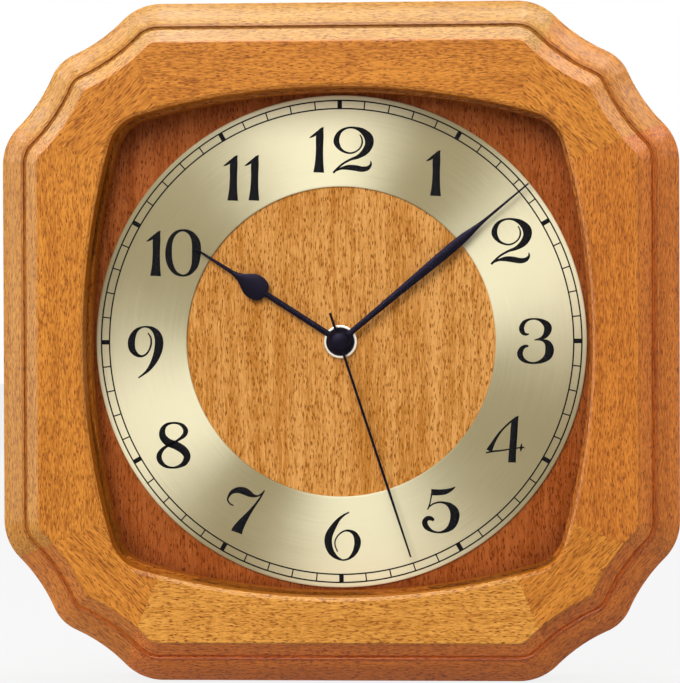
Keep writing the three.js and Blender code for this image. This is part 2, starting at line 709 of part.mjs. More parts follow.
// An arbor between two walls, with a pivot at each end.
function arbor(rearWall, frontWall, at) {
  const rear = rearWall + RUN_GAP;
  const front = frontWall - RUN_GAP;
  const profile = [
    [0, rear - PIVOT_LENGTH],
    [PIVOT_RADIUS, rear - PIVOT_LENGTH],
    [PIVOT_RADIUS, rear],
    [ARBOR_RADIUS, rear],
    [ARBOR_RADIUS, front],
    [PIVOT_RADIUS, front],
    [PIVOT_RADIUS, front + PIVOT_LENGTH],
    [0, front + PIVOT_LENGTH],
  ];
  return turned(profile, PIVOT_SEGMENTS, at);
}

function secondsWheel() {
  const rear = coverFront + RUN_GAP;
  const profile = [
    [0, rear - PIVOT_LENGTH],
    [PIVOT_RADIUS, rear - PIVOT_LENGTH],
    [PIVOT_RADIUS, rear],
    [SECOND_ARBOR_RADIUS, rear],
    [SECOND_ARBOR_RADIUS, secondArborFront],
    [0, secondArborFront],
  ];
  return joined(turned(profile, PIVOT_SEGMENTS), toothed(HAND_WHEEL_TEETH, 0, secondsLevel));
}

function centreWheel() {
  const pipe = disc(minutePipe, plateFront + RUN_GAP, minutePipeFront, SMALL_SEGMENTS);
  const wheel = toothed(HAND_WHEEL_TEETH, 0, centreLevel);
  const cannon = toothed(CANNON_TEETH, 0, cannonLevel);
  return cutFrom(joined(pipe, wheel, cannon), disc(minuteBore, 0, frameFront, SMALL_SEGMENTS));
}

function hourWheel() {
  const pipe = disc(hourPipe, hourLevel.rear, hourPipeFront, SMALL_SEGMENTS);
  const phase = meshingPhase(MOTION_PINION_TEETH, 0, HOUR_WHEEL_TEETH, MOTION_SIDE + Math.PI);
  const wheel = toothed(HOUR_WHEEL_TEETH, phase, hourLevel);
  return cutFrom(joined(pipe, wheel), disc(hourBore, 0, frameFront, SMALL_SEGMENTS));
}

function motionWheel() {
  const phase = meshingPhase(CANNON_TEETH, 0, MOTION_WHEEL_TEETH, MOTION_SIDE);
  return joined(
    arbor(plateFront, chamberFront, motionAxis),
    toothed(MOTION_WHEEL_TEETH, phase, cannonLevel, motionAxis),
    toothed(MOTION_PINION_TEETH, 0, hourLevel, motionAxis),
  );
}

function intermediateWheel(at, side, [rearWall, frontWall], pinionLevel, wheelLevel) {
  const phase = meshingPhase(HAND_WHEEL_TEETH, 0, INTERMEDIATE_PINION_TEETH, side);
  return joined(
    arbor(rearWall, frontWall, at),
    toothed(INTERMEDIATE_PINION_TEETH, phase, pinionLevel, at),
    toothed(INTERMEDIATE_TEETH, 0, wheelLevel, at),
  );
}

function rotor(at, side, [rearWall, frontWall], pinionLevel, magnetRear) {
  const phase = meshingPhase(INTERMEDIATE_TEETH, 0, ROTOR_TEETH, side);
  return joined(
    arbor(rearWall, frontWall, at),
    toothed(ROTOR_TEETH, phase, pinionLevel, at),
    disc(MAGNET_RADIUS, magnetRear, magnetRear + MAGNET_LENGTH, SMALL_SEGMENTS, at),
  );
}

// Motors: the stator is a flat loop, with the rotor in one side and the coil round the other
const secondsMagnetRear = secondsDriveLevel.rear - LEVEL_GAP - MAGNET_LENGTH;
const minutesMagnetRear = minuteDriveLevel.front + LEVEL_GAP;
const statorRear = (magnetRear) => magnetRear + (MAGNET_LENGTH - STATOR_THICK) / 2;

function statorFrame(axis, hand) {
  return {
    bar: axis.x,
    core: axis.x + hand * STATOR_REACH,
    upper: axis.y + STATOR_RISE,
    lower: axis.y - STATOR_DROP,
  };
}

function stator(axis, hand, magnetRear) {
  const { bar, core, upper, lower } = statorFrame(axis, hand);
  const rear = statorRear(magnetRear);
  const front = rear + STATOR_THICK;
  const half = STATOR_ARM / 2;
  const [left, right] = [bar, core].sort((a, b) => a - b);
  const plate = (from, to, low, high) => block(from, to, low, high, rear, front);
  const loop = joined(
    plate(bar - STATOR_BAR / 2, bar + STATOR_BAR / 2, lower - half, upper + half),
    plate(left, right, upper - half, upper + half),
    plate(left, right, lower - half, lower + half),
    plate(core - CORE_WIDTH / 2, core + CORE_WIDTH / 2, lower - half, upper + half),
  );
  return cutFrom(loop, disc(MAGNET_RADIUS + RUN_GAP, 0, frameFront, SMALL_SEGMENTS, axis));
}

function coil(axis, hand, magnetRear) {
  const { core, upper, lower } = statorFrame(axis, hand);
  const low = lower + STATOR_ARM / 2 + FIT_GAP;
  const high = upper - STATOR_ARM / 2 - FIT_GAP;
  const bore = Math.hypot(CORE_WIDTH, STATOR_THICK) / 2 + FIT_GAP;
  const winding = COIL_RADIUS - COIL_CHEEK_STEP;
  const profile = [
    [bore, low],
    [COIL_RADIUS, low],
    [COIL_RADIUS, low + COIL_CHEEK],
    [winding, low + COIL_CHEEK],
    [winding, high - COIL_CHEEK],
    [COIL_RADIUS, high - COIL_CHEEK],
    [COIL_RADIUS, high],
    [bore, high],
    [bore, low],
  ];
  const points = profile.map(([radius, height]) => new THREE.Vector2(radius, height));
  const depth = statorRear(magnetRear) + STATOR_THICK / 2;
  return solid(new THREE.LatheGeometry(points, SMALL_SEGMENTS).translate(core, 0, depth));
}

// Posts of the case and the train plate
const platePosts = [
  new THREE.Vector2(0, secondsRotor.y + STATOR_RISE / 2),
  new THREE.Vector2(-motionAxis.x - POST_RADIUS, chamberLow + CHAMBER_MARGIN * 2),
  new THREE.Vector2(2 * motionAxis.x + POST_RADIUS, -motionAxis.y / 2),
];
const statorPosts = (axis, hand) => {
  const { bar, core, upper, lower } = statorFrame(axis, hand);
  return [new THREE.Vector2(bar, upper), new THREE.Vector2(core, lower)];
};
const circuitLeft = -chamberHalf + FIT_GAP;
const circuitLow = chamberLow + FIT_GAP;
const circuitRear = coverFront + RUN_GAP + BUTTON_FLANGE_THICK + BUTTON_TRAVEL + LEVEL_GAP;
const circuitFront = circuitRear + CIRCUIT_THICK;
const circuitPosts = [CIRCUIT_POST_INSET, CIRCUIT_HEIGHT - CIRCUIT_POST_INSET].map(
  (rise) => new THREE.Vector2(circuitLeft + CIRCUIT_POST_INSET, circuitLow + rise),
);

function pinnedPost(at, seat, from, depth) {
  const past = Math.sign(seat - from) * depth;
  const [postRear, postFront] = [seat, from].sort((a, b) => a - b);
  const [pinRear, pinFront] = [seat + past, from].sort((a, b) => a - b);
  return joined(
    disc(POST_RADIUS, postRear, postFront, SMALL_SEGMENTS, at),
    disc(PIN_RADIUS, pinRear, pinFront, SMALL_SEGMENTS, at),
  );
}

const pinHole = (at) => disc(PIN_RADIUS + FIT_GAP, 0, frameFront, SMALL_SEGMENTS, at);
const pivotBore = (at) => disc(pivotHole, 0, frameFront, PIVOT_SEGMENTS, at);

function housing() {
  const outer = block(-caseHalf, caseHalf, caseLow, caseHigh, coverFront, caseFront);
  const chamber = block(-chamberHalf, chamberHalf, chamberLow, chamberHigh, 0, chamberFront);
  const bay = block(-chamberHalf, chamberHalf, bayLow, bayHigh, 0, chamberFront);
  const bores = [minutesIntermediate, minutesRotor, motionAxis].map(pivotBore);
  const mouth = disc(BUSHING_RADIUS + FIT_GAP, 0, frameFront, LARGE_SEGMENTS);
  const minutesStatorFront = statorRear(minutesMagnetRear) + STATOR_THICK;
  const posts = [
    ...platePosts.map((at) => pinnedPost(at, plateFront, caseFront, PLATE_THICK)),
    ...circuitPosts.map((at) => pinnedPost(at, circuitFront, caseFront, CIRCUIT_THICK)),
    ...statorPosts(minutesRotor, -1).map((at) =>
      disc(POST_RADIUS - FIT_GAP, minutesStatorFront, caseFront, SMALL_SEGMENTS, at),
    ),
  ];
  const rodSeat = crossBar(
    FERRITE_RADIUS + FIT_GAP,
    -caseHalf,
    caseHalf,
    LARGE_SEGMENTS,
    aerialHeight,
    aerialDepth,
  );
  const cradles = [-1, 1].map((side) =>
    cutFrom(
      block(
        side * CRADLE_SPREAD - CRADLE_THICK / 2,
        side * CRADLE_SPREAD + CRADLE_THICK / 2,
        aerialHeight - aerialRadius,
        aerialHeight + aerialRadius,
        aerialDepth,
        caseFront,
      ),
      rodSeat,
    ),
  );
  return joined(cutFrom(outer, chamber, bay, ...bores, mouth), ...posts, ...cradles);
}

function trainPlate() {
  const left = platePosts[1].x - 2 * POST_RADIUS;
  const right = statorFrame(secondsRotor, 1).core + 2 * POST_RADIUS;
  const low = platePosts[1].y - 2 * POST_RADIUS;
  const plate = block(left, right, low, statorTop, plateRear, plateFront);
  const axes = [secondsIntermediate, secondsRotor, minutesIntermediate, minutesRotor, motionAxis];
  const bores = [...axes.map(pivotBore), ...platePosts.map(pinHole)];
  const arborHole = disc(SECOND_ARBOR_RADIUS + RUN_GAP, 0, frameFront, SMALL_SEGMENTS);
  const statorFront = statorRear(secondsMagnetRear) + STATOR_THICK;
  const legs = statorPosts(secondsRotor, 1).map((at) =>
    disc(POST_RADIUS - FIT_GAP, statorFront, plateFront, SMALL_SEGMENTS, at),
  );
  return joined(cutFrom(plate, ...bores, arborHole), ...legs);
}

const buttonColumn = circuitLeft + CIRCUIT_WIDTH / 2 + POST_RADIUS;
const buttonAt = (place) =>
  new THREE.Vector2(buttonColumn, circuitLow + CIRCUIT_HEIGHT / 2 + place * BUTTON_PITCH);

function backCover() {
  const plate = block(-caseHalf, caseHalf, caseLow, caseHigh, coverRear, coverFront);
  const window = block(-chamberHalf, chamberHalf, bayLow, bayHigh, 0, chamberFront);
  const bores = [centre, secondsIntermediate, secondsRotor].map(pivotBore);
  const buttonHoles = [-1, 0, 1].map((place) =>
    disc(BUTTON_RADIUS + RUN_GAP, 0, chamberFront, SMALL_SEGMENTS, buttonAt(place)),
  );
  return cutFrom(plate, window, ...bores, ...buttonHoles);
}

function button(place) {
  const flangeRear = coverFront + RUN_GAP;
  const profile = [
    [0, coverRear - BUTTON_PROUD],
    [BUTTON_RADIUS, coverRear - BUTTON_PROUD],
    [BUTTON_RADIUS, flangeRear],
    [BUTTON_RADIUS + BUTTON_FLANGE, flangeRear],
    [BUTTON_RADIUS + BUTTON_FLANGE, flangeRear + BUTTON_FLANGE_THICK],
    [0, flangeRear + BUTTON_FLANGE_THICK],
  ];
  return turned(profile, SMALL_SEGMENTS, buttonAt(place));
}

function circuitBoard() {
  const board = block(
    circuitLeft,
    circuitLeft + CIRCUIT_WIDTH,
    circuitLow,
    circuitLow + CIRCUIT_HEIGHT,
    circuitRear,
    circuitFront,
  );
  return cutFrom(board, ...circuitPosts.map(pinHole));
}

function crystal() {
  const start = circuitLeft + 2 * CIRCUIT_POST_INSET;
  const height = circuitLow + CIRCUIT_HEIGHT - CIRCUIT_POST_INSET;
  const depth = circuitFront + CRYSTAL_RADIUS + FIT_GAP;
  return crossBar(CRYSTAL_RADIUS, start, start + CRYSTAL_LENGTH, SMALL_SEGMENTS, height, depth);
}

function chip() {
  const right = circuitLeft + CIRCUIT_WIDTH - POST_RADIUS;
  const low = circuitLow + POST_RADIUS;
  return block(right - CHIP_SIDE, right, low, low + CHIP_SIDE, circuitFront, circuitFront + CHIP_THICK);
}

function ferriteRod() {
  const half = FERRITE_LENGTH / 2;
  return crossBar(FERRITE_RADIUS, -half, half, LARGE_SEGMENTS, aerialHeight, aerialDepth);
}

function aerialCoil() {
  const half = AERIAL_LENGTH / 2;
  const bore = FERRITE_RADIUS + FIT_GAP;
  const profile = [
    [bore, -half],
    [aerialRadius, -half],
    [aerialRadius, half],
    [bore, half],
    [bore, -half],
  ];
  return crossRod(profile, LARGE_SEGMENTS, aerialHeight, aerialDepth);
}

function cell() {
  const start = -CELL_LENGTH / 2;
  const shoulder = CELL_LENGTH / 2 - CELL_NUB_LENGTH;
  const end = CELL_LENGTH / 2;
  const profile = [
    [0, start],
    [CELL_RADIUS - CELL_SHOULDER, start],
    [CELL_RADIUS, start + CELL_SHOULDER],
    [CELL_RADIUS, shoulder - CELL_SHOULDER],
    [CELL_RADIUS - CELL_SHOULDER, shoulder],
    [CELL_NUB_RADIUS, shoulder],
    [CELL_NUB_RADIUS, end],
    [0, end],
  ];
  return crossRod(profile, LARGE_SEGMENTS, cellHeight, cellDepthMiddle);
}

// A bowed leaf between an end wall of the bay and the cell.
function contact(hand) {
  const wall = hand * (chamberHalf - FIT_GAP);
  const bow = hand * (CELL_LENGTH / 2 + RUN_GAP);
  const leaf = (shift) =>
    new THREE.QuadraticBezierCurve(
      new THREE.Vector2(wall - hand * shift, cellHeight - CONTACT_HEIGHT / 2),
      new THREE.Vector2(2 * bow - wall + hand * (CONTACT_THICK - shift) * 2, cellHeight),
      new THREE.Vector2(wall - hand * shift, cellHeight + CONTACT_HEIGHT / 2),
    ).getPoints(CURVE_STEPS);
  const outline = [...leaf(0), ...leaf(CONTACT_THICK).reverse()];
  return slab(outline, cellDepthMiddle - CONTACT_WIDTH / 2, cellDepthMiddle + CONTACT_WIDTH / 2);
}

// Panels in the rebate
const panelOffset = REBATE_WIDTH - PANEL_GAP;

function spacerStrip(side) {
  const ring = slab(openingLoop(panelOffset), boardFront, glassRear, [openingLoop(0)]);
  const far = FRAME_WIDTH;
  const gap = GLUE_GAP / 2;
  const wedge = [
    new THREE.Vector2(0, gap),
    new THREE.Vector2(far, far + gap),
    new THREE.Vector2(-far, far + gap),
  ];
  const strip = ring.intersect(slab(clockwise(wedge, side), 0, frameFront));
  return cutFrom(strip, boardScrewShank(boardScrewAt(side), FIT_GAP));
}

function dialBoard() {
  const panel = slab(openingLoop(panelOffset), boardRear, boardFront);
  const shanks = [0, 1, 2, 3].map((side) => boardScrewShank(boardScrewAt(side), FIT_GAP));
  return cutFrom(panel, disc(BUSHING_RADIUS + FIT_GAP, 0, frameFront, LARGE_SEGMENTS), ...shanks);
}

function chapterRing() {
  const front = boardFront + RING_THICK;
  const profile = [
    [ringInner, boardFront],
    [ringOuter, boardFront],
    [ringOuter, front - RING_BEVEL],
    [ringOuter - RING_BEVEL, front],
    [ringInner + RING_BEVEL, front],
    [ringInner, front - RING_BEVEL],
    [ringInner, boardFront],
  ];
  return turned(profile, RING_SEGMENTS);
}

function bushing() {
  const profile = [
    [bushingBore, chamberFront],
    [BUSHING_RADIUS, chamberFront],
    [BUSHING_RADIUS, caseFront],
    [BUSHING_FLANGE_RADIUS, caseFront],
    [BUSHING_FLANGE_RADIUS, caseFront + BUSHING_FLANGE_THICK],
    [BUSHING_RADIUS, caseFront + BUSHING_FLANGE_THICK],
    [BUSHING_RADIUS, nutFront],
    [bushingBore, nutFront],
    [bushingBore, chamberFront],
  ];
  return turned(profile, LARGE_SEGMENTS);
}

function fixingNut() {
  const bore = BUSHING_RADIUS + FIT_GAP;
  const profile = [
    [bore, nutRear],
    [NUT_RADIUS, nutRear],
    [NUT_RADIUS, nutFront - NUT_CHAMFER],
    [NUT_RADIUS - NUT_CHAMFER, nutFront],
    [bore, nutFront],
    [bore, nutRear],
  ];
  return turned(profile, LARGE_SEGMENTS);
}

const frontWasher = () =>
  collar(BUSHING_RADIUS + FIT_GAP, NUT_RADIUS, boardFront, nutRear, LARGE_SEGMENTS);

const rubberWasher = () =>
  collar(BUSHING_FLANGE_RADIUS + FIT_GAP, RUBBER_RADIUS, caseFront, boardRear, LARGE_SEGMENTS);

// Assembly: the dial group stands upright, with its axis below the hook's seat
const clock = new THREE.Group();
const dial = new THREE.Group();
dial.rotation.x = Math.PI / 2;
dial.position.z = -hookHeight;
clock.add(dial);

function addPiece(name, made, finish, turn = 0) {
  const mesh = new THREE.Mesh(geometryOf(made), new THREE.MeshStandardMaterial(finish));
  mesh.name = name;
  mesh.rotation.z = -turn;
  dial.add(mesh);
}

// Frame
const SIDES = ["top", "right", "bottom", "left"];
const CORNERS = ["top_right", "bottom_right", "bottom_left", "top_left"];
const wholeFrame = cutFrom(frameRing(), hangerPocket());
SIDES.forEach((name, side) => {
  const wedge = slab(clockwise(staveWedge(true), side), -BACK_CHAMFER, frameFront + BACK_CHAMFER);
  addPiece("frame_rail_" + name, wholeFrame.intersect(wedge), FINISH.beech);
});
CORNERS.forEach((name, side) => {
  const wedge = slab(clockwise(staveWedge(false), side), -BACK_CHAMFER, frameFront + BACK_CHAMFER);
  addPiece("frame_corner_" + name, wholeFrame.intersect(wedge), FINISH.beech);
});

// Front
addPiece("glass_pane", slab(openingLoop(panelOffset), glassRear, lipRear), FINISH.glass);
SIDES.forEach((name, side) => addPiece("spacer_strip_" + name, spacerStrip(side), FINISH.beech));
addPiece("dial_board", dialBoard(), FINISH.veneer);
SIDES.forEach((name, side) => {
  addPiece("board_screw_" + name, boardScrew(boardScrewAt(side)), FINISH.steel);
});
addPiece("chapter_ring", chapterRing(), FINISH.champagne);

// Hands
addPiece("hour_hand", hourHand(), FINISH.blued, HOUR_ANGLE);
addPiece("minute_hand", minuteHand(), FINISH.blued, MINUTE_ANGLE);
addPiece("second_hand", secondHand(), FINISH.blued, SECOND_ANGLE);

// Fixing
addPiece("fixing_nut", fixingNut(), FINISH.nickel);
addPiece("front_washer", frontWasher(), FINISH.brass);
addPiece("rubber_washer", rubberWasher(), FINISH.rubber);
addPiece("threaded_bushing", bushing(), FINISH.brass);

// Movement case
addPiece("movement_housing", housing(), FINISH.blackPlastic);
addPiece("movement_back_cover", backCover(), FINISH.blackPlastic);
addPiece("train_plate", trainPlate(), FINISH.whitePlastic);

// Trains
const minutesWalls = [plateFront, chamberFront];
const secondsWalls = [coverFront, plateRear];
addPiece("hour_wheel", hourWheel(), FINISH.whitePlastic);
addPiece("motion_wheel", motionWheel(), FINISH.whitePlastic);
addPiece("centre_wheel", centreWheel(), FINISH.whitePlastic);
addPiece("seconds_wheel", secondsWheel(), FINISH.whitePlastic);
addPiece(
  "minutes_intermediate_wheel",
  intermediateWheel(minutesIntermediate, MINUTES_SIDE, minutesWalls, centreLevel, minuteDriveLevel),
  FINISH.whitePlastic,
);
addPiece(
  "seconds_intermediate_wheel",
  intermediateWheel(secondsIntermediate, SECONDS_SIDE, secondsWalls, secondsLevel, secondsDriveLevel),
  FINISH.whitePlastic,
);

// Motors
addPiece(
  "minutes_rotor",
  rotor(minutesRotor, MINUTES_SIDE, minutesWalls, minuteDriveLevel, minutesMagnetRear),
  FINISH.ferrite,
);
addPiece(
  "seconds_rotor",
  rotor(secondsRotor, SECONDS_SIDE, secondsWalls, secondsDriveLevel, secondsMagnetRear),
  FINISH.ferrite,
);
addPiece("minutes_stator", stator(minutesRotor, -1, minutesMagnetRear), FINISH.steel);
addPiece("seconds_stator", stator(secondsRotor, 1, secondsMagnetRear), FINISH.steel);
addPiece("minutes_coil", coil(minutesRotor, -1, minutesMagnetRear), FINISH.copper);
addPiece("seconds_coil", coil(secondsRotor, 1, secondsMagnetRear), FINISH.copper);

// Circuit, aerial, cell and buttons
addPiece("circuit_board", circuitBoard(), FINISH.circuit);
addPiece("quartz_crystal", crystal(), FINISH.nickel);
addPiece("controller_chip", chip(), FINISH.blackPlastic);
addPiece("ferrite_rod", ferriteRod(), FINISH.ferrite);
addPiece("aerial_coil", aerialCoil(), FINISH.copper);
addPiece("cell", cell(), FINISH.cell);
addPiece("contact_positive", contact(1), FINISH.nickel);
addPiece("contact_negative", contact(-1), FINISH.nickel);
["set_button", "receive_button", "reset_button"].forEach((name, i) =>
  addPiece(name, button(1 - i), FINISH.whitePlastic),
);

// Hanger
addPiece("hanger_plate", hangerPlate(), FINISH.steel);
addPiece("hanger_screw_left", hangerScrew(hangerScrewAt(-1), 0), FINISH.steel);
addPiece("hanger_screw_right", hangerScrew(hangerScrewAt(1), 0), FINISH.steel);

export default clock;
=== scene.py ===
"""Looks of a radio-controlled wall clock: a scalloped beech frame, a brushed chapter ring and blued hands.

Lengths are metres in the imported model's frame: X runs to the right, Z up, and the dial faces -Y. Dial
coordinates are (across, up, depth): to the right and upwards from the axis of the hands, and forwards from
the wall. Finishes count in millimetres from the point where that axis meets the wall.
"""

from __future__ import annotations

import json
import logging
import math
from dataclasses import dataclass, field, replace
from enum import Enum
from typing import Callable, Mapping, Optional, Sequence, Union

import bpy
import numpy as np
from mathutils import Euler, Matrix, Vector
from numpy.typing import NDArray


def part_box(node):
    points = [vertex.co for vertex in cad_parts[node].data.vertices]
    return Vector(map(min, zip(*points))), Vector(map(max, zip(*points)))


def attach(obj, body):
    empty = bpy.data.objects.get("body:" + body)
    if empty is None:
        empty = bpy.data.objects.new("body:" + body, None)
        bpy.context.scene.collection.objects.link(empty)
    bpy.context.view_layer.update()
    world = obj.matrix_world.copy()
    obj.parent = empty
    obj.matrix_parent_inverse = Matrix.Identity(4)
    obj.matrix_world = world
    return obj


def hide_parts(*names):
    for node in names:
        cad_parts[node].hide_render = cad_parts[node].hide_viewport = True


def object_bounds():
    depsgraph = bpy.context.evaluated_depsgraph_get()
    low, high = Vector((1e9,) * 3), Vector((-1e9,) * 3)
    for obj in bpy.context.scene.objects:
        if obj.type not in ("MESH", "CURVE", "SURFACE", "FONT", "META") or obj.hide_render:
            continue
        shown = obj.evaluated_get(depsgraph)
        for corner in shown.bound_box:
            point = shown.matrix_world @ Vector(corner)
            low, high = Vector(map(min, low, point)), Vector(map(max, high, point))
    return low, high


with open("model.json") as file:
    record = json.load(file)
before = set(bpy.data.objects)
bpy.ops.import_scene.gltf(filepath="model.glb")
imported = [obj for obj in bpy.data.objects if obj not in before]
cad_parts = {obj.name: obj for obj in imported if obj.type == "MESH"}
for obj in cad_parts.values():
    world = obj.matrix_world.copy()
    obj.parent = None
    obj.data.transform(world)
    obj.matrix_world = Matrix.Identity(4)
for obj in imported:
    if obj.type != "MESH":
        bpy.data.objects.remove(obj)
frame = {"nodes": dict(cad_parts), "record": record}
CAD_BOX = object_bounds()

log = logging.getLogger("wall_clock")

Array = NDArray[np.float64]
Pair = tuple[float, float]
Triple = tuple[float, float, float]
Colour = Triple
Cell = Triple
Stroke = tuple[Triple, ...]
Material = bpy.types.Material
Piece = bpy.types.Object
Socket = bpy.types.NodeSocket

MM = 0.001
DEGREE = math.pi / 180
RIGHT_ANGLE = math.pi / 2
FULL_TURN = 2 * math.pi
SHARP_EDGE = 32 * DEGREE
HAIR = 0.05 * MM
CUTTER_CLEARANCE = 1 * MM
# A rounded edge passes at this share of its width from both faces.
ROUNDING = 0.3


def axis_height() -> float:
    """Height of the axis of the hands: the middle of the chapter ring."""
    lowest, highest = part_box("chapter_ring")
    return (lowest.z + highest.z) / 2


AXIS_HEIGHT = axis_height()


@dataclass(frozen=True)
class Reach:
    """How far a CAD node reaches, in dial coordinates."""

    left: float
    right: float
    low: float
    high: float
    rear: float
    front: float

    @classmethod
    def of(cls, node: str) -> Reach:
        """Reads a node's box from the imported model.

        Args:
            node: name of the CAD node.

        Returns:
            Its reach from the axis of the hands and from the wall.
        """
        lowest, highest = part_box(node)
        low, high = lowest.z - AXIS_HEIGHT, highest.z - AXIS_HEIGHT
        return cls(lowest.x, highest.x, low, high, -highest.y, -lowest.y)

    @property
    def middle(self) -> Pair:
        """Middle of the box, seen from the front."""
        return (self.left + self.right) / 2, (self.low + self.high) / 2

    @property
    def thickness(self) -> float:
        """Distance from the rear to the front."""
        return self.front - self.rear


def paired(first: Array, second: Array) -> Array:
    """Points whose two coordinates stand in the last axis."""
    return np.stack(np.broadcast_arrays(first, second), axis=-1)


def circle(angle: Array) -> Array:
    """Points (sin a, cos a) of the unit circle, at angles clockwise from the top."""
    return paired(np.sin(angle), np.cos(angle))


def quarter(steps: int) -> Array:
    """Angles of a quarter turn from 0 to 90 degrees."""
    return np.linspace(0, RIGHT_ANGLE, steps + 1)


def clockwise(points: Array, angle: float) -> Array:
    """Turns (across, up) points about the axis: (x cos a + y sin a, y cos a - x sin a)."""
    cosine, sine = math.cos(angle), math.sin(angle)
    return points @ np.array([[cosine, -sine], [sine, cosine]])


def place(points: Array, depth: Array) -> Array:
    """Points (across, -depth, up + the axis) of the model's frame, from (across, up) points and depths."""
    across, up, depth = np.broadcast_arrays(points[..., 0], points[..., 1], depth)
    return np.stack([across, -depth, up + AXIS_HEIGHT], axis=-1)


# Shader maths
class Value:
    """A number that varies over a surface. Its operators add Math nodes."""

    def __init__(self, shader: Shader, socket: Socket) -> None:
        """Wraps a socket of a shader's node tree."""
        self.shader = shader
        self.socket = socket

    def math(self, operation: str, *terms: Number) -> Value:
        """Adds a Math node with these inputs in order and gives its result."""
        node = self.shader.add("ShaderNodeMath", {"operation": operation}, dict(enumerate(terms)))
        return Value(self.shader, node.outputs[0])

    def __add__(self, other: Number) -> Value:
        """Sum."""
        return self.math("ADD", self, other)

    def __sub__(self, other: Number) -> Value:
        """Difference."""
        return self.math("SUBTRACT", self, other)

    def __rsub__(self, other: Number) -> Value:
        """Difference from a plain number."""
        return self.math("SUBTRACT", other, self)

    def __mul__(self, other: Number) -> Value:
        """Product."""
        return self.math("MULTIPLY", self, other)

    def __pow__(self, power: int) -> Value:
        """Product of a few like factors."""
        return self if power == 1 else self ** (power - 1) * self

    def cosine(self) -> Value:
        """Cosine of the number."""
        return self.math("COSINE", self)

    def remainder(self) -> Value:
        """What is left after the whole number below."""
        return self.math("FRACT", self)

    def root(self) -> Value:
        """Square root."""
        return self.math("SQRT", self)

    def size(self) -> Value:
        """The number without its sign."""
        return self.math("ABSOLUTE", self)

    def least(self, other: Number) -> Value:
        """The smaller of two numbers."""
        return self.math("MINIMUM", self, other)

    def most(self, other: Number) -> Value:
        """The larger of two numbers."""
        return self.math("MAXIMUM", self, other)

    def ramp(self, low: float, high: float) -> Value:
        """Smooth step.

        Args:
            low: where the result is 0.
            high: where the result is 1.

        Returns:
            The result, from 0 to 1.
        """
        sockets = {"Value": self, "From Min": low, "From Max": high}
        node = self.shader.add("ShaderNodeMapRange", {"interpolation_type": "SMOOTHSTEP"}, sockets)
        return Value(self.shader, node.outputs[0])


Number = Union[float, Value]
Feed = Union[float, Sequence[float], Value, Socket]


def squareness(across: Value, up: Value) -> Value:
    """Half side of the rounded square through a point: the fourth root of the summed fourth powers."""
    return (across**4 + up**4).root().root()


